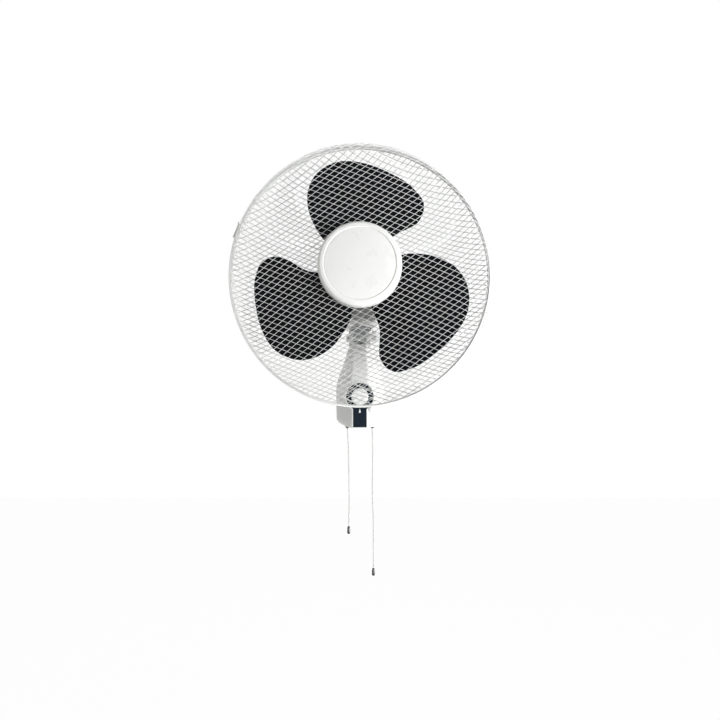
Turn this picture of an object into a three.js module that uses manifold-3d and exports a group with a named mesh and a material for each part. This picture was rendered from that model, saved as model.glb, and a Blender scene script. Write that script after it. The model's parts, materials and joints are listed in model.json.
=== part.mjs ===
// Wall mounted fan with a wire mesh guard, three blades, a tilting and swinging head and two pull cords.
// Millimetres. +X is to the right and -Y towards someone who stands before the fan, +Z is up.
// The origin is the middle of the wall plate's back face, on the wall.

import * as THREE from 'three';
import { mergeVertices } from 'three/addons/utils/BufferGeometryUtils.js';
import Module from 'manifold-3d';

const wasm = await Module();
wasm.setup();

// ---------------------------------------------------------------- driving dimensions

const GAP = 0.3;
const SLACK = 5;

// Where the axes lie.
const FAN_AXIS_Z = 195;
const PIVOT_Y = -140;
const TILT_Z = 112;
const HEAD_RISE = FAN_AXIS_Z - TILT_Z;

// Guard, measured from the swing axis: negative is towards the front.
const DISH_R = 211.6;
const RIM_INNER_R = 208.5;
const RIM_OUTER_R = 214.2;
const RIM_HALF = 1.9;
const FRONT_RIM_Y = -112;
const REAR_RIM_Y = -108;
const WIRE_R = 1;
const WIRE_SIDES = 4;
const FRONT_WIRE_PITCH = 30;
const REAR_WIRE_PITCH = 38;
const RISING_WIRE_ANGLE = 38.5;
const FALLING_WIRE_ANGLE = -22;
const WIRE_LAYER = 2;
const FRONT_SIDE_DEPTH = 42;
const FRONT_CROWN = 18;
const REAR_SIDE_DEPTH = 30;
const REAR_CROWN = 15.3;
const GUARD_CORNER_POWER = 28;
const GUARD_SEGMENTS = 40;
const CAP_HOOP_R = 58.8;
const CAP_HOOP_HALF = 1.9;
const GUARD_PLATE_OUTER_R = 46;
const GUARD_PLATE_HOLE_R = 17.4;

// Hoop, clips and rim screw.
const HOOP_OUTER_R = 216;
const HOOP_INNER_R = 213.4;
const HOOP_WALL = 1.4;
const CLIP_PIVOT_ANGLES = { left: 156.2, right: -16.2 };
const CLIP_SWEEP = 6.4;
const CLIP_WIDTH = 6;
const CLIP_THICKNESS = 2.2;
const CLIP_LIFT = 1.6;
const CLIP_PIN_R = 0.8;
const CLIP_BARREL_R = 1.7;
const CLIP_EAR_R = 1.8;
const CLIP_PIVOT_R = 217.5;
const RIM_SCREW_ANGLE = -85.3;
const RIM_SCREW_R = 219.5;
const RIM_SCREW_SHANK_R = 2;

// Cap.
const CAP_R = 65.3;
const CAP_FRONT_Y = -188;
const CAP_BACK_Y = -171.9;
const CAP_GROOVE_R = 55;
const CAP_WALL = 2;
const CAP_PLATE_R = 61;
const CAP_SCREW_X = 30;
const CAP_SCREW_R = 1.5;

// Blades.
const BLADE_COUNT = 3;
const BLADE_AHEAD = 125;
const BLADE_PITCH_PER_TURN = 190;
const BLADE_THICKNESS = 2.2;
const BLADE_TOP_ANGLE = 97;
const BLADE_ROOT_R = 40.6;
const BLADE_STEPS = 6;
const HUB_R = 42;
const HUB_FRONT_Y = -152;
const HUB_REAR_Y = -100;

// Motor.
const MOTOR_R = 58;
const CHIN_HALF = 30.5;
const CHIN_DROP = 64;
const CHIN_CORNER = 7;
const COVER_WALL = 2.2;
const COVER_SPLIT_Y = -26;
const COVER_FRONT_Y = -59.9;
const COVER_BACK_Y = 52;
const STATOR_R = 44;
const STATOR_BORE_R = 25.3;
const SHAFT_R = 4;
const NOSE_R = 17;

// Swing drive: the post, the crank and the link.
const POST_R = 8;
const POST_BOSS_R = 14;
const SWING_ANGLE = 40;
const SWING_ARM = 12;
const CRANK_R = SWING_ARM * Math.sin(THREE.MathUtils.degToRad(SWING_ANGLE));
const CRANK_CENTRE = new THREE.Vector2(SWING_ARM, 24);

// Neck and control housing.
const HOUSING_HALF = 45.3;
const HOUSING_FRONT_Y = -160;
const HOUSING_BOTTOM_Z = -54;
const HOUSING_WALL = 2.5;
const NECK_HALF = 20;
const NECK_TOP_Z = 98;
const SHELL_BACK_Y = -4.5;
const CHEEK_INNER = 12;
const CHEEK_R = 13.5;
const TILT_BOLT_R = 4;
const TILT_BOLT_END = 29;

// Keyhole panel.
const PANEL_CENTRE_Z = 2.6;
const PANEL_RING_R = 24.8;
const PANEL_DIAL_R = 15.6;
const SPINDLE_R = 3;
const PANEL_STEM_HALF = 12.2;
const PANEL_FILLET = 3.5;
const PANEL_BOTTOM_Z = -53.2;
const PANEL_THICKNESS = 2;
const PANEL_BORDER = 2.6;
const CREST_HALF = PANEL_STEM_HALF + PANEL_BORDER;

// Wall plate.
const PLATE_HALF_WIDTH = 28;
const PLATE_HALF_HEIGHT = 44;
const PLATE_THICKNESS = 3;
const PLATE_SCREW_Z = 34;
const PLATE_SCREW_HOLE_R = 2.6;
const HOOK_X = 20;
const HOOK_Z = 26;

// Pull cords.
const CORD_R = 0.9;
const CORD_Y = -130;
const CORD_TOP_Z = -25.5;
const EYELET_R = 3.4;
const EYELET_NECK_R = 2.6;
const EYELET_BORE_R = 1.5;
const EYELET_SEAT_Z = -52;
const LEVER_PIVOT_Y = -104;
const LEVER_Z = -29;
const LEVER_PIN_R = 1.2;

const LARGE = 32;
const FINE = 20;
const ROUND = 12;
const SMALL = 8;

// ---------------------------------------------------------------- finishes

function finish(color, roughness, metalness = 0) {
  return new THREE.MeshStandardMaterial({ color, roughness, metalness });
}

const FINISHES = {
  whitePlastic: () => finish(0xf1f1ee, 0.35),
  whiteWire: () => finish(0xf4f4f2, 0.4),
  bladePlastic: () => finish(0x23292c, 0.4),
  panelPlastic: () => finish(0x141b24, 0.25),
  blackPlastic: () => finish(0x111213, 0.35),
  castMetal: () => finish(0xa9abad, 0.5, 0.9),
  steel: () => finish(0xc3c5c7, 0.3, 1),
  laminations: () => finish(0x6a6d70, 0.5, 0.8),
  copper: () => finish(0xb4642c, 0.4, 0.9),
  bronze: () => finish(0xa9793d, 0.4, 0.9),
  cord: () => finish(0xe6e6e2, 0.7),
};

// ---------------------------------------------------------------- solids

const radians = THREE.MathUtils.degToRad;
const at2 = (x, y) => new THREE.Vector2(x, y);
const at3 = (x, y, z) => new THREE.Vector3(x, y, z);

function polar(radius, degrees) {
  const angle = radians(degrees);
  return at2(radius * Math.cos(angle), radius * Math.sin(angle));
}

function signedVolume(position, triangles) {
  const a = new THREE.Vector3();
  const b = new THREE.Vector3();
  const c = new THREE.Vector3();
  let sum = 0;
  for (let i = 0; i < triangles.length; i += 3) {
    a.fromBufferAttribute(position, triangles[i]);
    b.fromBufferAttribute(position, triangles[i + 1]);
    c.fromBufferAttribute(position, triangles[i + 2]);
    sum += a.dot(b.cross(c)) / 6;
  }
  return sum;
}

// A closed geometry as a solid: shared points merged, slivers dropped and faces turned outward.
function solidOf(geometry) {
  const bare = geometry.clone();
  bare.deleteAttribute('normal');
  bare.deleteAttribute('uv');
  const merged = mergeVertices(bare);
  const triangles = [];
  for (let i = 0; i < merged.index.count; i += 3) {
    const [a, b, c] = [0, 1, 2].map((k) => merged.index.getX(i + k));
    if (a !== b && b !== c && c !== a) triangles.push(a, b, c);
  }
  if (signedVolume(merged.attributes.position, triangles) < 0) triangles.reverse();
  const mesh = new wasm.Mesh({
    numProp: 3,
    vertProperties: new Float32Array(merged.attributes.position.array),
    triVerts: new Uint32Array(triangles),
  });
  return new wasm.Manifold(mesh);
}

function geometryOf(solid) {
  const mesh = solid.getMesh();
  const geometry = new THREE.BufferGeometry();
  geometry.setAttribute('position', new THREE.BufferAttribute(mesh.vertProperties, 3));
  geometry.setIndex(new THREE.BufferAttribute(mesh.triVerts, 1));
  const flat = geometry.toNonIndexed();
  flat.computeVertexNormals();
  return flat;
}

const joined = (...geometries) => geometries.map(solidOf).reduce((sum, next) => sum.add(next));
const cutBy = (solid, ...geometries) => (
  geometries.map(solidOf).reduce((left, tool) => left.subtract(tool), solid)
);

// Revolves [radius, position] pairs about the fan's own direction, Y.
const turned = (profile, segments = FINE) => (
  new THREE.LatheGeometry(profile.map(([r, y]) => at2(r, y)), segments)
);
const turnedZ = (profile, segments = ROUND) => turned(profile, segments).rotateX(Math.PI / 2);
const turnedX = (profile, segments = ROUND) => turned(profile, segments).rotateZ(-Math.PI / 2);

// A closed ring profile, and a plain round bar, between two positions on the axis.
const ringProfile = (inner, outer, from, to) => [
  [inner, from], [outer, from], [outer, to], [inner, to], [inner, from],
];
const barProfile = (radius, from, to) => [[0, from], [radius, from], [radius, to], [0, to]];

function boxBetween(low, high) {
  const size = high.clone().sub(low);
  const middle = low.clone().add(high).multiplyScalar(0.5);
  return new THREE.BoxGeometry(size.x, size.y, size.z).translate(middle.x, middle.y, middle.z);
}

// Extrudes a front view outline (x, z) backwards from one depth to another.
function frontExtrude(shape, frontY, backY, options = {}) {
  const settings = { depth: backY - frontY, bevelEnabled: false, ...options };
  const geometry = new THREE.ExtrudeGeometry(shape, settings);
  return geometry.rotateX(Math.PI / 2).translate(0, backY, 0);
}

// Extrudes a plan view outline (x, y) upwards.
const planExtrude = (shape, lowZ, highZ, options = {}) => new THREE.ExtrudeGeometry(shape, {
  depth: highZ - lowZ, bevelEnabled: false, ...options,
}).translate(0, 0, lowZ);

// Skins a stack of rings with equal numbers of points and closes both ends.
function loft(rings) {
  const count = rings[0].length;
  const positions = rings.flat().flatMap((p) => [p.x, p.y, p.z]);
  const index = [];
  for (let i = 0; i + 1 < rings.length; i += 1) {
    for (let j = 0; j < count; j += 1) {
      const a = i * count + j;
      const b = i * count + ((j + 1) % count);
      index.push(a, b, b + count, a, b + count, a + count);
    }
  }
  for (const [ring, base, top] of [[rings[0], 0, false], [rings.at(-1), (rings.length - 1) * count, true]]) {
    const middle = ring.reduce((sum, p) => sum.add(p), new THREE.Vector3()).divideScalar(count);
    const hub = positions.length / 3;
    positions.push(middle.x, middle.y, middle.z);
    for (let j = 0; j < count; j += 1) {
      const a = base + j;
      const b = base + ((j + 1) % count);
      index.push(hub, ...(top ? [a, b] : [b, a]));
    }
  }
  const geometry = new THREE.BufferGeometry();
  geometry.setAttribute('position', new THREE.Float32BufferAttribute(positions, 3));
  geometry.setIndex(index);
  return geometry;
}

// A sheet given by a function of u, v and side (0 or 1), closed all round.
function thickSheet(steps, surface) {
  const row = steps + 1;
  const positions = [];
  for (const side of [0, 1]) {
    for (let i = 0; i < row * row; i += 1) {
      positions.push(...surface((i % row) / steps, Math.floor(i / row) / steps, side).toArray());
    }
  }
  const index = [];
  const quad = (a, b, c, d) => index.push(a, b, c, a, c, d);
  const back = row * row;
  for (let v = 0; v < steps; v += 1) {
    for (let u = 0; u < steps; u += 1) {
      const a = v * row + u;
      quad(a, a + 1, a + row + 1, a + row);
      quad(back + a, back + a + row, back + a + row + 1, back + a + 1);
    }
  }
  for (let k = 0; k < steps; k += 1) {
    const [low, high] = [k, steps * row + k];
    const [left, right] = [k * row, k * row + steps];
    quad(low, back + low, back + low + 1, low + 1);
    quad(high, high + 1, back + high + 1, back + high);
    quad(left, left + row, back + left + row, back + left);
    quad(right, back + right, back + right + row, right + row);
  }
  const geometry = new THREE.BufferGeometry();
  geometry.setAttribute('position', new THREE.Float32BufferAttribute(positions, 3));
  geometry.setIndex(index);
  return geometry;
}

function roundedRectangle(halfWidth, lowZ, highZ, corner) {
  const shape = new THREE.Shape();
  shape.moveTo(-halfWidth + corner, lowZ);
  shape.lineTo(halfWidth - corner, lowZ);
  shape.absarc(halfWidth - corner, lowZ + corner, corner, -Math.PI / 2, 0);
  shape.lineTo(halfWidth, highZ - corner);
  shape.absarc(halfWidth - corner, highZ - corner, corner, 0, Math.PI / 2);
  shape.lineTo(-halfWidth + corner, highZ);
  shape.absarc(-halfWidth + corner, highZ - corner, corner, Math.PI / 2, Math.PI);
  shape.lineTo(-halfWidth, lowZ + corner);
  shape.absarc(-halfWidth + corner, lowZ + corner, corner, Math.PI, Math.PI * 1.5);
  return shape;
}

function circle(radius, x = 0, y = 0) {
  const shape = new THREE.Shape();
  shape.absarc(x, y, radius, 0, Math.PI * 2);
  return shape;
}

function tubeAlong(curve, radius, sides, steps) {
  const section = new THREE.Shape();
  for (let i = 0; i < sides; i += 1) {
    const p = polar(radius, (360 * i) / sides);
    if (i === 0) section.moveTo(p.x, p.y);
    else section.lineTo(p.x, p.y);
  }
  return new THREE.ExtrudeGeometry(section, { steps, extrudePath: curve, bevelEnabled: false });
}

function part(name, shape, material, parent, position = at3(0, 0, 0)) {
  const geometry = shape.isBufferGeometry ? geometryOf(solidOf(shape)) : geometryOf(shape);
  const mesh = new THREE.Mesh(geometry, material());
  mesh.name = name;
  mesh.position.copy(position);
  parent.add(mesh);
  return mesh;
}

// ---------------------------------------------------------------- bodies

const fan = new THREE.Group();
const tilt = new THREE.Group();
tilt.position.set(0, PIVOT_Y, TILT_Z);
fan.add(tilt);
const head = new THREE.Group();
head.position.set(0, 0, HEAD_RISE);
tilt.add(head);
const spin = new THREE.Group();
head.add(spin);

// ---------------------------------------------------------------- guards

// Depth of a guard's mesh at a distance from the fan axis: a rounded side wall and a shallow crown.
function dishDepth(radius, side, crown, rim) {
  const out = Math.min(1, radius / rim);
  return side * Math.sqrt(1 - out ** GUARD_CORNER_POWER) + crown * (1 - out * out);
}

// Each guard has two layers of wires. The inner layer lies one wire further in all round.
const frontDish = (radius, inset = 0) => (
  FRONT_RIM_Y - dishDepth(radius, FRONT_SIDE_DEPTH - inset, FRONT_CROWN, DISH_R - inset)
);
const rearDish = (radius, inset = 0) => (
  REAR_RIM_Y + dishDepth(radius, REAR_SIDE_DEPTH - inset, REAR_CROWN, DISH_R - inset)
);

// Shares of half a wire at which it may bend, close together at the shoulder near the rim.
const WIRE_STATIONS = [0, 0.5, 0.9, 0.975, 1];

// A wire that is straight in the front view and follows the dish from rim to rim.
class GuardWire extends THREE.Curve {
  constructor(offset, angle, dish, inset) {
    super();
    this.offset = offset;
    this.direction = radians(angle);
    this.dish = dish;
    this.inset = inset;
    this.half = Math.sqrt((DISH_R - inset) ** 2 - offset ** 2);
  }

  getPoint(t, target = new THREE.Vector3()) {
    const place = Math.abs(2 * t - 1) * (WIRE_STATIONS.length - 1);
    const step = Math.min(Math.floor(place), WIRE_STATIONS.length - 2);
    const share = THREE.MathUtils.lerp(WIRE_STATIONS[step], WIRE_STATIONS[step + 1], place - step);
    const along = Math.sign(t - 0.5) * share * this.half;
    const x = along * Math.cos(this.direction) - this.offset * Math.sin(this.direction);
    const z = along * Math.sin(this.direction) + this.offset * Math.cos(this.direction);
    return target.set(x, this.dish(Math.hypot(x, z), this.inset), z);
  }

  // Even steps of t land on the stations.
  getUtoTmapping(u) {
    return u;
  }
}

function guardWires(pitch, dish) {
  const wires = [];
  const families = [[RISING_WIRE_ANGLE, 0], [FALLING_WIRE_ANGLE, WIRE_LAYER]];
  const reach = Math.floor((DISH_R - 8) / pitch - 0.5);
  for (const [angle, inset] of families) {
    for (let i = -reach - 1; i <= reach; i += 1) {
      const wire = new GuardWire((i + 0.5) * pitch, angle, dish, inset);
      wires.push(tubeAlong(wire, WIRE_R, WIRE_SIDES, 2 * (WIRE_STATIONS.length - 1)));
    }
  }
  return wires;
}

const rimRing = (y) => (
  turned(ringProfile(RIM_INNER_R, RIM_OUTER_R, y - RIM_HALF, y + RIM_HALF), GUARD_SEGMENTS)
);
const capHoopFront = frontDish(CAP_HOOP_R) - WIRE_R - 0.5;
const capHoopBack = frontDish(CAP_HOOP_R) + WIRE_LAYER + WIRE_R;

function makeFrontGuard() {
  const well = turned(barProfile(CAP_HOOP_R, capHoopFront - SLACK, capHoopBack + SLACK));
  const wires = cutBy(joined(...guardWires(FRONT_WIRE_PITCH, frontDish)), well);
  const [inner, outer] = [CAP_HOOP_R - CAP_HOOP_HALF, CAP_HOOP_R + CAP_HOOP_HALF];
  const centre = turned(ringProfile(inner, outer, capHoopFront, capHoopBack));
  return wires.add(solidOf(rimRing(FRONT_RIM_Y))).add(solidOf(centre));
}

function makeRearGuard() {
  const plateY = COVER_FRONT_Y - GAP - 1.5;
  const [front, back] = [plateY - 3.4, plateY + 1.5];
  const well = turned(barProfile(GUARD_PLATE_OUTER_R - 3, REAR_RIM_Y, 0));
  const wires = cutBy(joined(...guardWires(REAR_WIRE_PITCH, rearDish)), well);
  const plate = solidOf(turned(ringProfile(GUARD_PLATE_HOLE_R, GUARD_PLATE_OUTER_R, front, back)));
  const recess = turned(barProfile(GUARD_PLATE_OUTER_R - 4, plateY - 8, plateY));
  return wires.add(solidOf(rimRing(REAR_RIM_Y))).add(plate).subtract(solidOf(recess));
}

part('front_guard', makeFrontGuard(), FINISHES.whiteWire, head);
part('rear_guard', makeRearGuard(), FINISHES.whiteWire, head);

// ---------------------------------------------------------------- hoop, clips and rim screw

const hoopFront = FRONT_RIM_Y - RIM_HALF - GAP - HOOP_WALL;
const hoopBack = REAR_RIM_Y + RIM_HALF + GAP + HOOP_WALL;
const hoopMiddle = (hoopFront + hoopBack) / 2;
const earFoot = HOOP_OUTER_R - 1.2;

function earOutline(pivot, radius, towards) {
  const shape = new THREE.Shape();
  const aim = towards.clone().sub(pivot).normalize();
  const across = at2(-aim.y, aim.x).multiplyScalar(radius);
  const angle = Math.atan2(across.y, across.x);
  shape.moveTo(towards.x - across.x, towards.y - across.y);
  shape.lineTo(towards.x + across.x, towards.y + across.y);
  shape.absarc(pivot.x, pivot.y, radius, angle, angle + Math.PI);
  return shape;
}

function makeHoop() {
  const channel = turned([
    [HOOP_INNER_R, hoopFront], [HOOP_OUTER_R, hoopFront], [HOOP_OUTER_R, hoopBack], [HOOP_INNER_R, hoopBack],
    [HOOP_INNER_R, hoopBack - HOOP_WALL], [HOOP_OUTER_R - HOOP_WALL, hoopBack - HOOP_WALL],
    [HOOP_OUTER_R - HOOP_WALL, hoopFront + HOOP_WALL], [HOOP_INNER_R, hoopFront + HOOP_WALL],
    [HOOP_INNER_R, hoopFront],
  ], GUARD_SEGMENTS);
  let hoop = solidOf(channel);
  const earDepth = (hoopBack - hoopFront - CLIP_WIDTH) / 2 - GAP;
  for (const degrees of Object.values(CLIP_PIVOT_ANGLES)) {
    const pivot = polar(CLIP_PIVOT_R, degrees);
    const outline = earOutline(pivot, CLIP_EAR_R, polar(earFoot, degrees));
    hoop = hoop.add(solidOf(frontExtrude(outline, hoopFront, hoopFront + earDepth, { curveSegments: 3 })));
    hoop = hoop.add(solidOf(frontExtrude(outline, hoopBack - earDepth, hoopBack, { curveSegments: 3 })));
    const hole = turned(barProfile(CLIP_PIN_R + GAP, hoopFront - SLACK, hoopBack + SLACK), SMALL);
    hoop = cutBy(hoop, hole.translate(pivot.x, 0, pivot.y));
  }
  const screw = polar(RIM_SCREW_R, RIM_SCREW_ANGLE);
  const boss = earOutline(screw, 4.5, polar(earFoot, RIM_SCREW_ANGLE));
  hoop = hoop.add(solidOf(frontExtrude(boss, hoopFront, hoopBack, { curveSegments: 3 })));
  const hole = turned(barProfile(RIM_SCREW_SHANK_R + GAP, hoopFront - SLACK, hoopBack + SLACK), SMALL);
  return cutBy(hoop, hole.translate(screw.x, 0, screw.y));
}

part('guard_hoop', makeHoop(), FINISHES.whitePlastic, head);

// Each clip is a curved lever that lies along the hoop below its pivot, with a lifted finger end.
function makeClip(side) {
  const sign = side === 'left' ? 1 : -1;
  const start = CLIP_PIVOT_ANGLES[side];
  const bed = HOOP_OUTER_R + GAP * 2;
  const inner = [];
  const outer = [];
  const steps = 6;
  for (let i = 0; i <= steps; i += 1) {
    const share = i / steps;
    const lift = CLIP_LIFT * share ** 3;
    const degrees = start + sign * CLIP_SWEEP * share;
    inner.push(polar(bed + lift, degrees));
    outer.unshift(polar(bed + lift + CLIP_THICKNESS, degrees));
  }
  const lever = new THREE.Shape([...inner, ...outer]);
  const pivot = polar(CLIP_PIVOT_R, start);
  const [front, back] = [hoopMiddle - CLIP_WIDTH / 2, hoopMiddle + CLIP_WIDTH / 2];
  const barrel = turned(barProfile(CLIP_BARREL_R, front, back), SMALL).translate(pivot.x, 0, pivot.y);
  const bore = turned(barProfile(CLIP_PIN_R + GAP, front - SLACK, back + SLACK), SMALL);
  return cutBy(joined(frontExtrude(lever, front, back), barrel), bore.translate(pivot.x, 0, pivot.y));
}

for (const side of ['left', 'right']) {
  const pivot = polar(CLIP_PIVOT_R, CLIP_PIVOT_ANGLES[side]);
  part(`${side}_clip`, makeClip(side), FINISHES.whitePlastic, head);
  const pin = turned(barProfile(CLIP_PIN_R, hoopFront - 0.8, hoopBack + 0.8), SMALL);
  part(`${side}_clip_pin`, pin, FINISHES.steel, head, at3(pivot.x, 0, pivot.y));
}

const rimScrewAt = polar(RIM_SCREW_R, RIM_SCREW_ANGLE);
const rimScrew = turned([
  [0, hoopFront - GAP - 2], [2.6, hoopFront - GAP - 2], [3.6, hoopFront - GAP - 0.8], [3.6, hoopFront - GAP],
  [RIM_SCREW_SHANK_R, hoopFront - GAP], [RIM_SCREW_SHANK_R, hoopBack + 5], [0, hoopBack + 5],
], SMALL);
part('rim_screw', rimScrew, FINISHES.steel, head, at3(rimScrewAt.x, 0, rimScrewAt.y));
const rimNut = turned(ringProfile(RIM_SCREW_SHANK_R + GAP, 3.9, hoopBack + GAP, hoopBack + GAP + 3.2), 6);
part('rim_nut', rimNut, FINISHES.steel, head, at3(rimScrewAt.x, 0, rimScrewAt.y));

// ---------------------------------------------------------------- cap and its plate

const capPlateFront = capHoopBack + 1.6;

function makeCap() {
  const face = CAP_FRONT_Y;
  const shell = turned([
    [0, face], [30, face + 0.8], [CAP_GROOVE_R - 1, face + 2.3], [CAP_GROOVE_R, face + 3.3],
    [CAP_GROOVE_R + 1, face + 1.6], [CAP_R - 4, face + 2.4], [CAP_R - 1, face + 6], [CAP_R, CAP_BACK_Y],
    [CAP_R - CAP_WALL, CAP_BACK_Y], [CAP_R - CAP_WALL - 1, face + 7], [CAP_GROOVE_R, face + 5.4],
    [0, face + 4],
  ], LARGE);
  const spigotR = CAP_HOOP_R - CAP_HOOP_HALF - GAP * 2;
  const spigot = turned(ringProfile(spigotR - 2, spigotR, face + 4, capPlateFront - GAP));
  const bosses = [-CAP_SCREW_X, CAP_SCREW_X].map((x) => (
    turned(barProfile(4, face + 3, capPlateFront - GAP), SMALL).translate(x, 0, 0)
  ));
  const bores = [-CAP_SCREW_X, CAP_SCREW_X].map((x) => (
    turned(barProfile(CAP_SCREW_R + GAP, face + 8, capPlateFront + SLACK), SMALL).translate(x, 0, 0)
  ));
  return cutBy(joined(shell, spigot, ...bosses), ...bores);
}

part('guard_cap', makeCap(), FINISHES.whitePlastic, head);

const capPlateShape = circle(CAP_PLATE_R);
for (const x of [-CAP_SCREW_X, CAP_SCREW_X]) capPlateShape.holes.push(circle(CAP_SCREW_R + GAP, x));
const capPlate = frontExtrude(capPlateShape, capPlateFront, capPlateFront + 1.2, { curveSegments: FINE / 2 });
part('cap_plate', capPlate, FINISHES.whitePlastic, head);

const capScrew = turned([
  [0, CAP_FRONT_Y + 9], [CAP_SCREW_R, CAP_FRONT_Y + 9], [CAP_SCREW_R, capPlateFront + 1.5],
  [3, capPlateFront + 1.5], [3, capPlateFront + 2.5], [2, capPlateFront + 3.2], [0, capPlateFront + 3.2],
], SMALL);
part('cap_screw_left', capScrew, FINISHES.steel, head, at3(-CAP_SCREW_X, 0, 0));
part('cap_screw_right', capScrew, FINISHES.steel, head, at3(CAP_SCREW_X, 0, 0));

// ---------------------------------------------------------------- blade wheel

// Outline of one blade as [radius, degrees] seen from the front. The leading edge goes first as the wheel
// turns clockwise, and lies further back than the trailing edge.
const LEADING_EDGE = [[BLADE_ROOT_R, 51.5], [82, 52], [100, 49.6], [118, 46], [135, 44.3], [150, 45.6]];
const BLADE_TIP = [
  [150, 45.6], [160, 47.8], [167.5, 51], [172, 57], [176, 66], [180.5, 81.5],
  [184.5, 92], [185.5, 100], [182.5, 106], [177.3, 111], [170.4, 115.7], [163.5, 119],
];
const TRAILING_EDGE = [
  [BLADE_ROOT_R, 143], [73, 140], [92, 137], [111.5, 133.3], [131, 129.2], [150.5, 123.8], [163.5, 119],
];

const edgeCurve = (points) => new THREE.SplineCurve(points.map(([r, degrees]) => polar(r, degrees)));

// The outline's four sides blended over the blade, then lifted to a screw surface.
function makeBlade() {
  const lead = edgeCurve(LEADING_EDGE);
  const trail = edgeCurve(TRAILING_EDGE);
  const tip = edgeCurve(BLADE_TIP);
  const root = (u) => polar(BLADE_ROOT_R, THREE.MathUtils.lerp(LEADING_EDGE[0][1], TRAILING_EDGE[0][1], u));
  const mix = (a, b, share) => a.clone().lerp(b, share);
  return thickSheet(BLADE_STEPS, (u, v, side) => {
    const across = mix(lead.getPointAt(v), trail.getPointAt(v), u);
    const along = mix(root(u), tip.getPointAt(u), v);
    const corners = mix(mix(root(0), root(1), u), mix(tip.getPointAt(0), tip.getPointAt(1), u), v);
    const p = across.add(along).sub(corners);
    const turn = Math.atan2(p.y, p.x) - radians(BLADE_TOP_ANGLE);
    const lift = (BLADE_PITCH_PER_TURN * turn) / (Math.PI * 2);
    return at3(p.x, -BLADE_AHEAD - lift + (side - 0.5) * BLADE_THICKNESS, p.y);
  });
}

function makeBladeWheel() {
  const hub = turned([
    [SHAFT_R + GAP, HUB_FRONT_Y], [34, HUB_FRONT_Y], [39, HUB_FRONT_Y + 1.5], [41, HUB_FRONT_Y + 5],
    [HUB_R, HUB_REAR_Y], [HUB_R - 2.5, HUB_REAR_Y], [38.5, HUB_FRONT_Y + 6], [35, HUB_FRONT_Y + 3],
    [10, HUB_FRONT_Y + 3], [9, HUB_REAR_Y - 8], [SHAFT_R + GAP, HUB_REAR_Y - 8], [SHAFT_R + GAP, HUB_FRONT_Y],
  ], FINE);
  const slot = boxBetween(at3(-12, HUB_REAR_Y - 12, -1.9), at3(12, HUB_REAR_Y, 1.9));
  let wheel = cutBy(solidOf(hub), slot);
  const blade = makeBlade();
  for (let i = 0; i < BLADE_COUNT; i += 1) {
    wheel = wheel.add(solidOf(blade.clone().rotateY((i * Math.PI * 2) / BLADE_COUNT)));
  }
  return wheel;
}

part('blade_wheel', makeBladeWheel(), FINISHES.bladePlastic, spin);

const drivePinY = HUB_REAR_Y - 9.8;
const shaft = cutBy(
  solidOf(turned([[0, -162], [3, -162], [SHAFT_R, -161], [SHAFT_R, -12], [3, -11], [0, -11]], ROUND)),
  turnedX(barProfile(1.5 + GAP, -SLACK, SLACK), SMALL).translate(0, drivePinY, 0),
);
part('shaft', shaft, FINISHES.steel, spin);
part('drive_pin', turnedX(barProfile(1.5, -9, 9), SMALL), FINISHES.steel, spin, at3(0, drivePinY, 0));

// The nut that holds the wheel on the shaft: a dome with finger ribs round it.
function makeSpinnerNut() {
  const front = -164.6;
  const back = HUB_FRONT_Y - GAP;
  const dome = turned([
    [0, front], [8, front + 0.6], [13, front + 3], [14.5, front + 6], [15, back], [0, back],
  ], ROUND);
  const ribs = [];
  for (let i = 0; i < 6; i += 1) {
    const rib = boxBetween(at3(12.5, front + 4, -1.2), at3(17, back, 1.2)).rotateY((i * Math.PI) / 3);
    ribs.push(rib);
  }
  return cutBy(joined(dome, ...ribs), turned(barProfile(SHAFT_R + GAP, -162.3, back + SLACK), ROUND));
}

part('spinner_nut', makeSpinnerNut(), FINISHES.bladePlastic, spin);
part('rotor', turned(ringProfile(SHAFT_R + GAP, 25, -50, -26), FINE), FINISHES.laminations, spin);

// ---------------------------------------------------------------- motor

part('stator', turned(ringProfile(STATOR_BORE_R + GAP, STATOR_R, -49, -27)), FINISHES.laminations, head);
part('front_winding', turned(ringProfile(28, 40, -53.2, -49.3), ROUND), FINISHES.copper, head);
part('rear_winding', turned(ringProfile(28, 40, -26.7, -22), ROUND), FINISHES.copper, head);

const bellRim = 46;
function makeFrontBell() {
  return solidOf(turned([
    [7, -68], [NOSE_R, -68], [NOSE_R, -56.8], [bellRim, -56.8], [bellRim, -27], [STATOR_R + GAP, -27],
    [STATOR_R + GAP, -49.3], [42, -49.3], [42, -53.8], [9, -53.8], [7, -57], [7, -68],
  ], FINE));
}

part('front_bell', makeFrontBell(), FINISHES.castMetal, head);
part('front_bush', turned(ringProfile(SHAFT_R + GAP, 7 - GAP, -67, -58), ROUND), FINISHES.bronze, head);

// The rear bell also carries the boss that turns on the post, and a shelf for the swing motor.
const bossTop = -38.6;
const bossBottom = -65.2;
const shelfLow = -7;
function makeRearBell() {
  const plate = turned([
    [7, -21.5], [bellRim, -21.5], [bellRim, -17.5], [12, -17.5], [10.5, -12], [7, -12], [7, -21.5],
  ], FINE);
  const boss = turnedZ(barProfile(POST_BOSS_R, bossBottom, bossTop));
  const web = boxBetween(at3(-9, -21.5, -60), at3(9, -9, bossTop));
  const [left, right] = [CRANK_CENTRE.x - 14, CRANK_CENTRE.x + 14];
  const shelf = boxBetween(at3(left, -19, shelfLow), at3(right, 40, shelfLow + 2.5));
  const rib = boxBetween(at3(right - 2.5, -19, shelfLow), at3(right, 30, shelfLow + 9));
  const bore = turnedZ(barProfile(POST_R + GAP, bossBottom - SLACK, bossTop + SLACK));
  const shaftWay = turned(barProfile(7, -30, 0), ROUND);
  return cutBy(joined(plate, boss, web, shelf, rib), bore, shaftWay);
}

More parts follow.
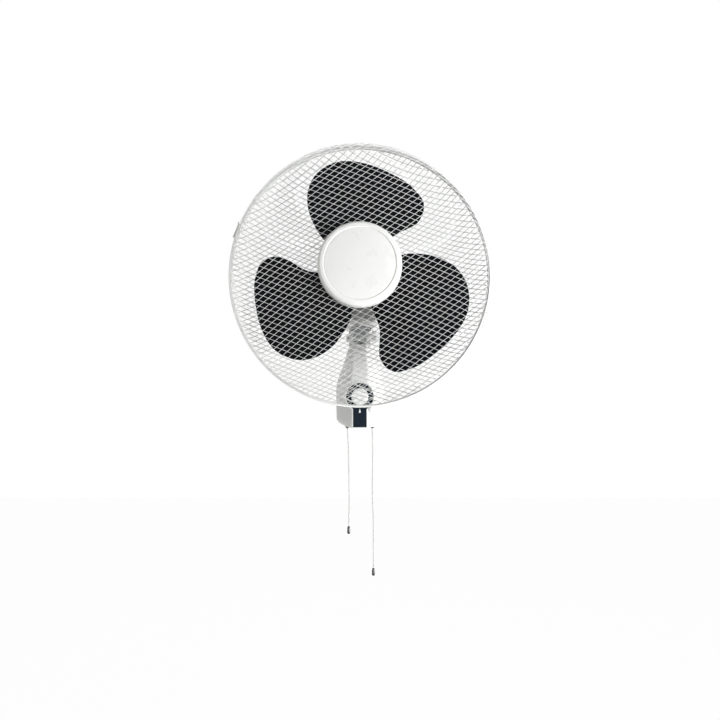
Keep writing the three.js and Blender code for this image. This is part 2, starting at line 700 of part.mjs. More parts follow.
part('rear_bell', makeRearBell(), FINISHES.castMetal, head);
part('rear_bush', turned(ringProfile(SHAFT_R + GAP, 7 - GAP, -21, -13), ROUND), FINISHES.bronze, head);

// Points along an arc in the front view, from one angle to another in degrees.
function arcPoints(x, z, radius, from, to, steps) {
  const points = [];
  for (let i = 0; i <= steps; i += 1) {
    const p = polar(radius, THREE.MathUtils.lerp(from, to, i / steps));
    points.push(at2(x + p.x, z + p.y));
  }
  return points;
}

// Front view outline of the motor covers: a circle with a flat chin below it.
function coverRing(inset, y) {
  const radius = MOTOR_R - inset;
  const half = CHIN_HALF - inset;
  const corner = CHIN_CORNER - inset;
  const cornerZ = corner + inset - CHIN_DROP;
  const shoulder = THREE.MathUtils.radToDeg(Math.acos(half / radius));
  const points = [
    ...arcPoints(half - corner, cornerZ, corner, -90, 0, 3),
    ...arcPoints(0, 0, radius, -shoulder, 180 + shoulder, 16),
    ...arcPoints(corner - half, cornerZ, corner, 180, 270, 3),
  ];
  return points.map((p) => at3(p.x, y, p.y));
}

function makeFrontCover() {
  const outer = loft([
    coverRing(4, COVER_FRONT_Y), coverRing(1, COVER_FRONT_Y + 2), coverRing(0, COVER_FRONT_Y + 6),
    coverRing(0, COVER_SPLIT_Y - GAP),
  ]);
  const inner = loft([
    coverRing(COVER_WALL, COVER_FRONT_Y + COVER_WALL), coverRing(COVER_WALL, COVER_SPLIT_Y + SLACK),
  ]);
  return cutBy(solidOf(outer), inner, turned(barProfile(NOSE_R + GAP, COVER_FRONT_Y - SLACK, -40)));
}

// The rear cover closes the back, with cooling slots and a round opening under it for the post.
function makeRearCover() {
  const rings = [[0, COVER_SPLIT_Y], [0, 22], [2.5, 34], [7, 43], [14, 49.5], [22, COVER_BACK_Y]];
  const outer = solidOf(loft(rings.map(([inset, y]) => coverShrink(inset, y))));
  const innerRings = rings.slice(1).map(([inset, y]) => coverShrink(inset + COVER_WALL, y - COVER_WALL));
  const inner = loft([coverRing(COVER_WALL, COVER_SPLIT_Y - SLACK), ...innerRings]);
  const slots = [];
  for (let i = 0; i < 5; i += 1) {
    const half = i % 4 === 0 ? 22 : 28;
    const z = -18 + i * 9;
    slots.push(boxBetween(at3(-half, 36, z - 2), at3(half, COVER_BACK_Y + SLACK, z + 2)));
  }
  const opening = turnedZ(barProfile(23, -CHIN_DROP - SLACK, -45));
  return cutBy(outer, inner, opening, ...slots);
}

// The cover's outline drawn in evenly towards the fan axis.
function coverShrink(inset, y) {
  const share = 1 - inset / MOTOR_R;
  return coverRing(0, y).map((p) => at3(p.x * share, y, p.z * share));
}

part('motor_front_cover', makeFrontCover(), FINISHES.whitePlastic, head);
part('motor_rear_cover', makeRearCover(), FINISHES.whitePlastic, head);

function makeGuardNut() {
  const front = -67;
  const back = COVER_FRONT_Y - GAP * 2 - 1.5;
  const ring = turned(ringProfile(NOSE_R + GAP, 36, back - 3, back), FINE);
  const collar = turned(ringProfile(NOSE_R + GAP, 22, front, back), FINE);
  const grips = [];
  for (let i = 0; i < 4; i += 1) {
    grips.push(boxBetween(at3(20, front + 0.5, -1.3), at3(36, back - 2, 1.3)).rotateY((i * Math.PI) / 2));
  }
  return joined(ring, collar, ...grips);
}

part('guard_nut', makeGuardNut(), FINISHES.blackPlastic, head);

// ---------------------------------------------------------------- swing drive

const armLow = -37.7;
const armHigh = -35.7;
const linkLow = -34.2;
const linkHigh = -32.6;
const crankLow = -29.5;
const crankPinAt = at2(CRANK_CENTRE.x + CRANK_R, CRANK_CENTRE.y);

part('swing_motor', turnedZ([
  [0, -25.5], [20, -25.5], [21, -24.5], [21, -8.5], [20, shelfLow - GAP], [0, shelfLow - GAP],
]), FINISHES.steel, head, at3(CRANK_CENTRE.x, CRANK_CENTRE.y, 0));

const crank = joined(
  turnedZ(barProfile(11, crankLow, crankLow + 3.6)),
  turnedZ(barProfile(2, linkHigh + GAP + 0.1, crankLow + 1), SMALL).translate(CRANK_R, 0, 0),
);
part('crank', crank, FINISHES.whitePlastic, head, at3(CRANK_CENTRE.x, CRANK_CENTRE.y, 0));

// Tilt bracket: a lug between the neck's cheeks, a flange and the upright post the head swings on.
function makeTiltBracket() {
  const half = CHEEK_INNER - GAP;
  const lug = turnedX(barProfile(CHEEK_R - 0.5, -half, half));
  const block = boxBetween(at3(-half, -11, 0), at3(half, 11, 16));
  const flange = turnedZ(barProfile(20, 14.5, 17.5));
  const post = turnedZ(barProfile(POST_R, 17, HEAD_RISE + armLow - GAP));
  const bore = turnedX(barProfile(TILT_BOLT_R + GAP, -30, 30), ROUND);
  const thread = turnedZ(barProfile(2.5 + GAP, 30, 60), SMALL);
  return cutBy(joined(lug, block, flange, post), bore, thread);
}

part('tilt_bracket', makeTiltBracket(), FINISHES.castMetal, tilt);

function makeSwingArm() {
  const outline = new THREE.Shape();
  const slope = Math.acos((8 - 4) / SWING_ARM);
  outline.absarc(0, 0, 8, slope, Math.PI * 2 - slope);
  outline.absarc(SWING_ARM, 0, 4, -slope, slope);
  const plate = planExtrude(outline, armLow, armHigh, { curveSegments: 6 });
  const pin = turnedZ(barProfile(1.6, armHigh - 1, linkHigh + 1.2), SMALL).translate(SWING_ARM, 0, 0);
  return cutBy(joined(plate, pin), turnedZ(barProfile(2.5 + GAP, armLow - SLACK, armHigh + SLACK), SMALL));
}

part('swing_arm', makeSwingArm(), FINISHES.steel, tilt, at3(0, 0, HEAD_RISE));
part('post_screw', turnedZ([
  [0, armHigh + 3.2], [4.6, armHigh + 3.2], [5.2, armHigh + 2.4], [5.2, armHigh + GAP], [2.5, armHigh + GAP],
  [2.5, -52], [0, -52],
], SMALL), FINISHES.steel, tilt, at3(0, 0, HEAD_RISE));

// The link runs from the fixed pin on the swing arm to the crank pin, which ends just above it.
function makeSwingLink() {
  const from = at2(SWING_ARM, 0);
  const aim = crankPinAt.clone().sub(from);
  const length = aim.length();
  const bar = planExtrude(new THREE.Shape([
    at2(0, -2.5), at2(length, -2.5), at2(length, 2.5), at2(0, 2.5),
  ]), linkLow, linkHigh);
  const eyes = [0, length].map((x) => turnedZ(barProfile(4, linkLow, linkHigh), SMALL).translate(x, 0, 0));
  const holes = [1.6 + GAP, 2 + GAP].map((r, i) => (
    turnedZ(barProfile(r, linkLow - SLACK, linkHigh + SLACK), SMALL).translate(i * length, 0, 0)
  ));
  const link = geometryOf(cutBy(joined(bar, ...eyes), ...holes));
  return link.rotateZ(aim.angle()).translate(from.x, from.y, 0);
}

part('swing_link', makeSwingLink(), FINISHES.steel, tilt, at3(0, 0, HEAD_RISE));

// ---------------------------------------------------------------- neck and control housing

// Each level of the housing: height, half width, half width of the front crest, crest depth, side depth
// and back depth.
const HOUSING_LEVELS = [
  [HOUSING_BOTTOM_Z, 16, 14, -157, -150, -20], [-52.4, 23, CREST_HALF, -158.8, -139, -12],
  [-49, 30.8, CREST_HALF, -159.6, -124, -6], [-43, 40, CREST_HALF, -160, -114, SHELL_BACK_Y],
  [-36, HOUSING_HALF - 0.8, CREST_HALF, -160, -110, SHELL_BACK_Y],
  [18, HOUSING_HALF, CREST_HALF, -160, -109, SHELL_BACK_Y], [44, 40, 14.4, -160, -115, SHELL_BACK_Y],
  [58, 33.5, 13, -160, -122, SHELL_BACK_Y - 1], [66, 30.5, 12.5, -160, -128, -22],
  [76, 26.8, 12, -160, -134, -70], [86, 23.4, 12, -159.5, -141, -105],
  [NECK_TOP_Z, NECK_HALF, 12, -158, -146, -121],
];

function housingRing([z, half, crest, frontY, sideY, backY], inset, back) {
  const h = half - inset;
  const c = crest - inset * 0.5;
  const f = frontY + inset;
  const b = back ?? backY - inset;
  const corner = Math.min(6, (b - sideY) / 4);
  const right = [[c, f], [h - (h - c) * 0.35, f + (sideY - f) * 0.62], [h, sideY + inset * 0.3],
    [h, b - corner], [h - corner * 0.4, b]];
  const left = right.map(([x, y]) => [-x, y]).reverse();
  return [...right, ...left].map(([x, y]) => at3(x, y, z));
}

// Outline of the keyhole panel: a round head on a stem, grown by a margin.
function keyhole(grow, bottomZ) {
  const radius = PANEL_RING_R + grow;
  const half = PANEL_STEM_HALF + grow;
  const fillet = PANEL_FILLET - grow * 0.5;
  const drop = Math.sqrt((radius + fillet) ** 2 - (half + fillet) ** 2);
  const filletZ = PANEL_CENTRE_Z - drop;
  const lean = Math.atan2(drop, half + fillet);
  const shape = new THREE.Shape();
  shape.moveTo(-half, bottomZ);
  shape.lineTo(half, bottomZ);
  shape.absarc(half + fillet, filletZ, fillet, Math.PI, Math.PI - lean, true);
  shape.absarc(0, PANEL_CENTRE_Z, radius, -lean, Math.PI + lean);
  shape.absarc(-half - fillet, filletZ, fillet, lean, 0, true);
  return shape;
}

const glandAt = at3(0, -34, 0);
const cordExits = { speed: -23.3, swing: 23.3 };
const coverBossAt = [[-37.4, -28], [37.4, -28], [-34.6, 34], [34.6, 34]];

function makeNeckHousing() {
  const outer = solidOf(loft(HOUSING_LEVELS.map((level) => housingRing(level, 0))));
  const boss = solidOf(frontExtrude(keyhole(PANEL_BORDER, -52), HOUSING_FRONT_Y - 1.6, HOUSING_FRONT_Y + 22,
    { curveSegments: 6 }));
  const hollowLevels = HOUSING_LEVELS.map(([z, ...rest], i) => {
    const low = i < 3 ? HOUSING_WALL : 0;
    return [Math.min(z + low, NECK_TOP_Z - 6), ...rest];
  });
  const openBelowZ = 56;
  const rings = hollowLevels.map((level) => (
    housingRing(level, HOUSING_WALL, level[0] < openBelowZ ? SLACK : undefined)
  ));
  let shell = outer.add(boss).subtract(solidOf(loft(rings)));
  const pocket = frontExtrude(keyhole(GAP, PANEL_BOTTOM_Z - 10), HOUSING_FRONT_Y - 8,
    HOUSING_FRONT_Y - 1.6 + PANEL_THICKNESS, { curveSegments: 6 });
  shell = cutBy(shell, pocket, turned(barProfile(6, -170, -140), ROUND).translate(0, 0, PANEL_CENTRE_Z));
  for (const [x, z] of coverBossAt) {
    shell = shell.add(solidOf(turned(barProfile(5.5, -60, -8.6), SMALL).translate(x, 0, z)));
    shell = cutBy(shell, turned(barProfile(1.5 + GAP, -30, 0), SMALL).translate(x, 0, z));
  }
  for (const x of Object.values(cordExits)) {
    const pad = turnedZ(barProfile(EYELET_R + 1.2, EYELET_SEAT_Z, -46));
    shell = shell.add(solidOf(pad.translate(x, CORD_Y, 0)));
  }
  for (const sign of [-1, 1]) {
    const cheek = turnedX(barProfile(CHEEK_R, CHEEK_INNER, NECK_HALF)).translate(0, PIVOT_Y, TILT_Z);
    const stem = boxBetween(
      at3(CHEEK_INNER, PIVOT_Y - CHEEK_R, NECK_TOP_Z - 3), at3(NECK_HALF, PIVOT_Y + CHEEK_R, TILT_Z),
    );
    for (const piece of [cheek, stem]) {
      shell = shell.add(solidOf(sign < 0 ? piece.rotateZ(Math.PI).translate(0, 2 * PIVOT_Y, 0) : piece));
    }
  }
  const bolt = turnedX(barProfile(TILT_BOLT_R + GAP, -40, 40), ROUND).translate(0, PIVOT_Y, TILT_Z);
  const wireWay = turnedZ(barProfile(6, NECK_TOP_Z - 12, NECK_TOP_Z + 1), SMALL).translate(0, PIVOT_Y + 2, 0);
  const gland = turnedZ(barProfile(6 + GAP, -60, -40)).translate(glandAt.x, glandAt.y, 0);
  const eyelets = Object.values(cordExits).map((x) => turnedZ([
    [0, -60], [EYELET_R + GAP, -60], [EYELET_R + GAP, EYELET_SEAT_Z], [EYELET_NECK_R + GAP, EYELET_SEAT_Z],
    [EYELET_NECK_R + GAP, -38], [0, -38],
  ], SMALL).translate(x, CORD_Y, 0));
  return cutBy(shell, bolt, wireWay, gland, ...eyelets);
}

part('neck_housing', makeNeckHousing(), FINISHES.whitePlastic, fan);

// ---------------------------------------------------------------- rear cover, wall plate and screws

function makeRearHousingCover() {
  const outline = roundedRectangle(HOUSING_HALF - HOUSING_WALL - 6.5, -44, 40, 8);
  const plate = frontExtrude(outline, -7.6, -5, { curveSegments: 3 });
  const tabs = coverBossAt.map(([x, z]) => turned(barProfile(4.4, -7.6, -5), SMALL).translate(x, 0, z));
  const bridges = coverBossAt.map(([x, z]) => (
    boxBetween(at3(Math.min(x, x * 0.6), -7.6, z - 4), at3(Math.max(x, x * 0.6), -5, z + 4))
  ));
  const ribs = [-24, 0].map((z) => boxBetween(at3(-28, -10.5, z - 1), at3(28, -7, z + 1)));
  const hookWays = [-HOOK_X, HOOK_X].map((x) => (
    boxBetween(at3(x - 6.5, -20, HOOK_Z - 10), at3(x + 6.5, 0, HOOK_Z + 2))
  ));
  const bores = coverBossAt.map(([x, z]) => turned(barProfile(1.5 + GAP, -20, 0), SMALL).translate(x, 0, z));
  return cutBy(joined(plate, ...tabs, ...bridges, ...ribs), ...hookWays, ...bores);
}

part('housing_back', makeRearHousingCover(), FINISHES.whitePlastic, fan);

coverBossAt.forEach(([x, z], i) => {
  part(`back_screw_${i + 1}`, turned([
    [0, -3.5], [2.4, -3.5], [3, -4], [3, -4.7], [1.5, -4.7], [1.5, -24], [0, -24],
  ], ROUND), FINISHES.steel, fan, at3(x, 0, z));
});

function makeWallPlate() {
  const shape = roundedRectangle(PLATE_HALF_WIDTH, -PLATE_HALF_HEIGHT, PLATE_HALF_HEIGHT, 5);
  for (const z of [-PLATE_SCREW_Z, PLATE_SCREW_Z]) shape.holes.push(circle(PLATE_SCREW_HOLE_R, 0, z));
  const plate = frontExtrude(shape, -PLATE_THICKNESS, 0, { curveSegments: 4 });
  const hooks = [-HOOK_X, HOOK_X].flatMap((x) => [
    boxBetween(at3(x - 5, -11, HOOK_Z - 8), at3(x + 5, -PLATE_THICKNESS + 1, HOOK_Z - 6)),
    boxBetween(at3(x - 5, -11, HOOK_Z - 8), at3(x + 5, -9, HOOK_Z + 4)),
  ]);
  return joined(plate, ...hooks);
}

part('wall_plate', makeWallPlate(), FINISHES.steel, fan);

// ---------------------------------------------------------------- tilt bolt and knob

const tiltBolt = turnedX([
  [0, -25], [6.5, -25], [7.5, -24], [7.5, -NECK_HALF - GAP], [TILT_BOLT_R, -NECK_HALF - GAP],
  [TILT_BOLT_R, TILT_BOLT_END], [0, TILT_BOLT_END],
], ROUND);
part('tilt_bolt', tiltBolt, FINISHES.steel, fan, at3(0, PIVOT_Y, TILT_Z));

function makeTiltKnob() {
  const start = NECK_HALF + GAP;
  const body = turnedX([
    [0, start], [7, start], [8, start + 2], [8, start + 10], [6.5, start + 12], [0, start + 12],
  ]);
  const wings = [0, 1, 2].map((i) => (
    boxBetween(at3(start + 1.5, -1.8, 0), at3(start + 10.5, 1.8, 13)).rotateX((i * Math.PI * 2) / 3)
  ));
  const bore = turnedX(barProfile(TILT_BOLT_R + GAP, start - SLACK, TILT_BOLT_END + GAP));
  return cutBy(joined(body, ...wings), bore);
}

part('tilt_knob', makeTiltKnob(), FINISHES.whitePlastic, fan, at3(0, PIVOT_Y, TILT_Z));

// ---------------------------------------------------------------- keyhole panel, dial and mark

const panelFront = HOUSING_FRONT_Y - 1.6;
const panelBack = panelFront + PANEL_THICKNESS - GAP;

function makePanel() {
  const shape = keyhole(0, PANEL_BOTTOM_Z);
  const panel = solidOf(frontExtrude(shape, panelFront, panelBack, { curveSegments: 6 }));
  const dialWell = turned(barProfile(PANEL_DIAL_R + GAP, panelFront - SLACK, panelFront + 1));
  const spindleWay = turned(barProfile(SPINDLE_R + GAP, panelFront - SLACK, panelBack + SLACK), SMALL);
  for (const well of [dialWell, spindleWay]) well.translate(0, 0, PANEL_CENTRE_Z);
  const markWell = frontExtrude(markOutline(GAP * 0.5), panelFront - SLACK, panelFront + 0.7);
  return cutBy(panel, dialWell, spindleWay, markWell);
}

// A drop with its point up, on the stem below the dial.
function markOutline(grow) {
  const tipZ = -18.3 + grow;
  const ballZ = -25.2;
  const ball = 1.9 + grow;
  const shape = new THREE.Shape();
  const lean = Math.acos(ball / (tipZ - ballZ));
  shape.moveTo(0, tipZ);
  shape.absarc(0, ballZ, ball, Math.PI / 2 + lean, Math.PI * 2.5 - lean);
  return shape;
}

part('keyhole_panel', makePanel(), FINISHES.panelPlastic, fan);
const mark = frontExtrude(markOutline(-GAP * 0.5), panelFront - 0.1, panelFront + 0.4, { curveSegments: 6 });
part('panel_mark', mark, FINISHES.whitePlastic, fan);

// The speed dial: a white disc on a spindle that reaches back to the speed switch.
const dial = turned([
  [0, panelFront - 1.4], [12, panelFront - 1.2], [14.6, panelFront - 0.6], [PANEL_DIAL_R, panelFront + 0.4],
  [PANEL_DIAL_R, panelFront + 0.7], [SPINDLE_R, panelFront + 0.7], [SPINDLE_R, -146], [0, -146],
]);
part('speed_dial', dial, FINISHES.whitePlastic, fan, at3(0, 0, PANEL_CENTRE_Z));

// ---------------------------------------------------------------- electrics in the housing

function makeSwitchBody(x) {
  const half = 8;
  const body = boxBetween(at3(x - half, -108, -24), at3(x + half, -84, -4));
  const forks = [-1, 1].map((sign) => (
    boxBetween(at3(x + sign * 5 - 1.2, -108, LEVER_Z - 3), at3(x + sign * 5 + 1.2, -98, -20))
  ));
  const bore = turnedX(barProfile(LEVER_PIN_R + GAP, -12, 12), SMALL).translate(x, LEVER_PIVOT_Y, LEVER_Z);
  return cutBy(joined(body, ...forks), bore);
}

function makeSwitchLever(x) {
  const half = 3.2;
  const barrel = turnedX(barProfile(2.4, -half, half), SMALL).translate(x, LEVER_PIVOT_Y, LEVER_Z);
  const arm = boxBetween(at3(x - 2.6, CORD_Y - 4, LEVER_Z - 1), at3(x + 2.6, LEVER_PIVOT_Y, LEVER_Z + 1));
  const slot = boxBetween(at3(x - 1.4, CORD_Y - 8, LEVER_Z - 4), at3(x + 1.4, CORD_Y + 3, LEVER_Z + 4));
  const pin = turnedX(barProfile(LEVER_PIN_R, -6.5, 6.5), SMALL).translate(x, LEVER_PIVOT_Y, LEVER_Z);
  return cutBy(joined(barrel, arm), slot).add(solidOf(pin));
}

part('speed_switch', makeSwitchBody(cordExits.speed), FINISHES.blackPlastic, fan);
part('swing_switch', makeSwitchBody(cordExits.swing), FINISHES.blackPlastic, fan);
part('speed_switch_lever', makeSwitchLever(cordExits.speed), FINISHES.whitePlastic, fan);
part('swing_switch_lever', makeSwitchLever(cordExits.swing), FINISHES.whitePlastic, fan);

function makeSwitchPlate() {
  const plate = boxBetween(at3(-37, -83.7, -26), at3(37, -81.7, 2));
  const legs = [-30, 30].map((x) => boxBetween(at3(x - 2, -81.9, -20), at3(x + 2, -11.2, -16)));
  return joined(plate, ...legs);
}

part('switch_plate', makeSwitchPlate(), FINISHES.steel, fan);
part('run_capacitor', frontExtrude(roundedRectangle(9, 6, 40, 3), -50, -16, { curveSegments: 3 }),
  FINISHES.blackPlastic, fan);

function makeTerminalBlock() {
  const block = boxBetween(at3(-16, -30, -18), at3(16, -11, -6));
  const ways = [-10, 0, 10].map((x) => turned(barProfile(2, -40, 0), SMALL).translate(x, 0, -12));
  return cutBy(solidOf(block), ...ways);
}

part('terminal_block', makeTerminalBlock(), FINISHES.whitePlastic, fan);

// The gland is pushed down through the floor: a short nose outside and a collar inside.
const floorTop = HOUSING_BOTTOM_Z + HOUSING_WALL;
const gland = turnedZ([
  [3.6, -55.2], [5.4, -55.2], [6, -54.6], [6, floorTop + GAP], [8.5, floorTop + GAP], [8.5, floorTop + 2.2],
  [5.4, floorTop + 2.2], [5.4, -42], [3.6, -42], [3.6, -55.2],
]);
part('cable_gland', gland, FINISHES.blackPlastic, fan, glandAt);

// ---------------------------------------------------------------- pull cords

// Cord routes as [x, z] in the plane of the exits, chosen by hand.
const CORD_ROUTES = {
  speed: [
    [-23.3, CORD_TOP_Z], [-23.3, -57], [-23, -63], [-21.9, -78], [-21.1, -102], [-20.3, -150],
    [-19.9, -200], [-20.7, -230], [-20.9, -246.5],
  ],
  swing: [
    [23.3, CORD_TOP_Z], [23.3, -57], [23.5, -63], [24.1, -76], [24.2, -110], [23.6, -165],
    [23.9, -193], [25.1, -216], [25.4, -265], [25.4, -324.8],
  ],
};
const CORD_STEPS = { speed: 18, swing: 24 };
const CORD_SIDES = 8;
const PENDANT_HEIGHT = 14;
const CORD_IN_PENDANT = 8;

function makePendant() {
  return turnedZ([
    [CORD_R + GAP, 0], [1.8, 0], [2.3, -1.2], [2.7, -3.5], [2.9, 2.5 - PENDANT_HEIGHT],
    [2.4, -PENDANT_HEIGHT], [1.7, -PENDANT_HEIGHT], [1.7, 5 - PENDANT_HEIGHT],
    [CORD_R + GAP, 5.5 - PENDANT_HEIGHT], [CORD_R + GAP, 0],
  ], SMALL);
}

// A bush with a flange, pushed up into its way in the housing's floor.
function makeEyelet() {
  const [low, high] = [-55.6, -44];
  return turnedZ([
    [EYELET_BORE_R, low], [2.1, low], [2.4, low + 1.6], [EYELET_R, EYELET_SEAT_Z - 1.3],
    [EYELET_R, EYELET_SEAT_Z - GAP], [EYELET_NECK_R, EYELET_SEAT_Z - GAP], [EYELET_NECK_R, high],
    [EYELET_BORE_R, high], [EYELET_BORE_R, low],
  ], SMALL);
}

for (const [name, route] of Object.entries(CORD_ROUTES)) {
  const path = new THREE.CatmullRomCurve3(route.map(([x, z]) => at3(x, CORD_Y, z)), false, 'centripetal');
  part(`${name}_cord`, tubeAlong(path, CORD_R, CORD_SIDES, CORD_STEPS[name]), FINISHES.cord, fan);
  const [endX, endZ] = route.at(-1);
  const pendantAt = at3(endX, CORD_Y, endZ + CORD_IN_PENDANT);
  part(`${name}_pendant`, makePendant(), FINISHES.blackPlastic, fan, pendantAt);
  part(`${name}_eyelet`, makeEyelet(), FINISHES.blackPlastic, fan, at3(cordExits[name], CORD_Y, 0));
}

export default fan;
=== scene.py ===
"""Wall mounted fan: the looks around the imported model.

Lengths are in millimetres up to the last step of each piece, which turns them into Blender's metres.
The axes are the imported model's: +X to the right, -Y towards the viewer, +Z up, the wall at Y = 0."""

import json
import math

import bmesh
import bpy
import numpy as np
from mathutils import Matrix, Vector


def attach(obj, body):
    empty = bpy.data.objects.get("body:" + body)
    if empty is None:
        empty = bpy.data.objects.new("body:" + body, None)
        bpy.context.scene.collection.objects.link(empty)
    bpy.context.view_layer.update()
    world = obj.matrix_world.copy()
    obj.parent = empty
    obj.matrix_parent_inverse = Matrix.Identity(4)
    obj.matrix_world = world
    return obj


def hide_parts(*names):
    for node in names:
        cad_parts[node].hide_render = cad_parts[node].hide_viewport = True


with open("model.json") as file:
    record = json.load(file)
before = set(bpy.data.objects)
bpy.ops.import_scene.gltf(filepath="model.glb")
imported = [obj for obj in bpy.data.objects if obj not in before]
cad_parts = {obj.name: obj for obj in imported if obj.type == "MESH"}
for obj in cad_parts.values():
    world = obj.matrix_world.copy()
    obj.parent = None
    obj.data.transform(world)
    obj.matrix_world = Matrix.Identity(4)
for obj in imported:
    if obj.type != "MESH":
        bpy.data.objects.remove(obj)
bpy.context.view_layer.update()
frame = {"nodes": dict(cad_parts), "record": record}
scene = bpy.context.scene
scene.view_settings.view_transform = "Standard"

MM = 0.001

# GAP is the play between pieces that fit into each other. The upright post stands at PIVOT_Y.
# The fan turns on FAN_Z and the head nods on TILT_Z.
GAP = 0.3
PIVOT_Y = -140
FAN_Z = 195
TILT_Z = 112

# ---------------------------------------------------------------- camera

PHOTO_SIZE = 720
FOCAL_PIXELS = 540
HORIZON_ROW = 430
SENSOR = 36
CAMERA_PLACE = (0.0003, -1.143, -0.058)

camera_data = bpy.data.cameras.new("photo_camera")
camera_data.sensor_width = SENSOR
camera_data.lens = SENSOR * FOCAL_PIXELS / PHOTO_SIZE
camera_data.shift_y = (HORIZON_ROW - PHOTO_SIZE / 2) / PHOTO_SIZE
camera_data.clip_start = 0.05
camera_data.clip_end = 60
camera = bpy.data.objects.new("photo_camera", camera_data)
camera.location = CAMERA_PLACE
camera.rotation_euler = (math.radians(90), 0, 0)
scene.collection.objects.link(camera)
scene.camera = camera

# ---------------------------------------------------------------- materials

# Scales of the noises and waves, per metre.
COLOUR_DRIFT, GLOSS_DRIFT, METAL_GLOSS_DRIFT, CORD_GLOSS_DRIFT = 14, 45, 60, 300
METAL_GRAIN, CORD_TWIST, LAMINATION_LINES = 700, 620, 320
PLASTIC_IOR, PLASTIC_BUMP = 1.49, 0.00002
COAT_ROUGHNESS = 0.08
NOISE_ROUGHNESS = 0.55
NOISE_LOW, NOISE_HIGH = 0.3, 0.7


def new_material(name):
    material = bpy.data.materials.new(name)
    material.use_nodes = True
    tree = material.node_tree
    return material, tree, tree.nodes["Principled BSDF"]


def filled(node, values):
    """Sets inputs of a shader node by their names."""
    for name, value in values.items():
        node.inputs[name].default_value = value
    return node


def coordinates(tree, scale):
    """Object coordinates, which are the model's own metres, stretched by a scale in each direction."""
    source = tree.nodes.new("ShaderNodeTexCoord")
    mapping = filled(tree.nodes.new("ShaderNodeMapping"), {"Scale": scale})
    tree.links.new(source.outputs["Object"], mapping.inputs["Vector"])
    return mapping.outputs["Vector"]


def noise(tree, vector, scale, detail=3.0):
    node = filled(tree.nodes.new("ShaderNodeTexNoise"),
                  {"Scale": scale, "Detail": detail, "Roughness": NOISE_ROUGHNESS})
    tree.links.new(vector, node.inputs["Vector"])
    return node.outputs["Fac"]


def ramp(tree, value, low, high, low_at=NOISE_LOW, high_at=NOISE_HIGH):
    """A grey or colour that runs from low to high as value runs between the two stops."""
    node = tree.nodes.new("ShaderNodeValToRGB")
    node.color_ramp.elements[0].position = low_at
    node.color_ramp.elements[1].position = high_at
    node.color_ramp.elements[0].color = (*low, 1)
    node.color_ramp.elements[1].color = (*high, 1)
    tree.links.new(value, node.inputs["Fac"])
    return node.outputs["Color"]


def spread(tree, value, low, high):
    """A number that runs from low to high as value runs through the usual range of a noise."""
    node = filled(tree.nodes.new("ShaderNodeMapRange"),
                  {"From Min": NOISE_LOW, "From Max": NOISE_HIGH, "To Min": low, "To Max": high})
    tree.links.new(value, node.inputs["Value"])
    return node.outputs["Result"]


def bump(tree, shader, height, distance):
    """Raises the surface by up to a distance, in metres, where height is 1."""
    node = filled(tree.nodes.new("ShaderNodeBump"), {"Strength": 1.0, "Distance": distance})
    tree.links.new(height, node.inputs["Height"])
    tree.links.new(node.outputs["Normal"], shader.inputs["Normal"])


def plastic(name, low, high, gloss, grain=900, coat=0.0, shine=0.5):
    """Moulded plastic: a slow drift of colour, a fine grain, and gloss that varies a little."""
    material, tree, shader = new_material(name)
    vector = coordinates(tree, (1, 1, 1))
    tree.links.new(ramp(tree, noise(tree, vector, COLOUR_DRIFT), low, high), shader.inputs["Base Color"])
    tree.links.new(spread(tree, noise(tree, vector, GLOSS_DRIFT, 5), *gloss), shader.inputs["Roughness"])
    bump(tree, shader, noise(tree, vector, grain, 2), PLASTIC_BUMP)
    filled(shader, {"IOR": PLASTIC_IOR, "Specular IOR Level": shine,
                    "Coat Weight": coat, "Coat Roughness": COAT_ROUGHNESS})
    return material


def metal(name, low, high, gloss, stretch=(1, 1, 1), grain_height=0.00001):
    """Bare metal with a fine grain, drawn out in a direction where it is stretched."""
    material, tree, shader = new_material(name)
    vector = coordinates(tree, stretch)
    drawn = noise(tree, vector, METAL_GRAIN, 3)
    tree.links.new(ramp(tree, drawn, low, high), shader.inputs["Base Color"])
    drift = noise(tree, vector, METAL_GLOSS_DRIFT, 4)
    tree.links.new(spread(tree, drift, *gloss), shader.inputs["Roughness"])
    bump(tree, shader, drawn, grain_height)
    shader.inputs["Metallic"].default_value = 1.0
    return material


def braided(name, low, high):
    """Cord of twisted threads: fine slanted ridges along its length."""
    material, tree, shader = new_material(name)
    vector = coordinates(tree, (1, 1, 0.55))
    wave = filled(tree.nodes.new("ShaderNodeTexWave"), {"Scale": CORD_TWIST, "Distortion": 0.6})
    wave.bands_direction = "DIAGONAL"
    tree.links.new(vector, wave.inputs["Vector"])
    tree.links.new(ramp(tree, wave.outputs["Fac"], low, high, 0.1, 0.8), shader.inputs["Base Color"])
    drift = noise(tree, vector, CORD_GLOSS_DRIFT)
    tree.links.new(spread(tree, drift, 0.55, 0.75), shader.inputs["Roughness"])
    bump(tree, shader, wave.outputs["Fac"], 0.0002)
    shader.inputs["Sheen Weight"].default_value = 0.25
    return material


def laminated(name, low, high):
    """A stack of thin steel sheets, seen on edge as fine lines across the fan's axis."""
    material, tree, shader = new_material(name)
    wave = filled(tree.nodes.new("ShaderNodeTexWave"), {"Scale": LAMINATION_LINES, "Distortion": 0.3})
    wave.bands_direction = "Y"
    tree.links.new(coordinates(tree, (1, 1, 1)), wave.inputs["Vector"])
    tree.links.new(ramp(tree, wave.outputs["Fac"], low, high, 0.2, 0.8), shader.inputs["Base Color"])
    tree.links.new(spread(tree, wave.outputs["Fac"], 0.4, 0.6), shader.inputs["Roughness"])
    bump(tree, shader, wave.outputs["Fac"], 0.0001)
    shader.inputs["Metallic"].default_value = 0.8
    return material


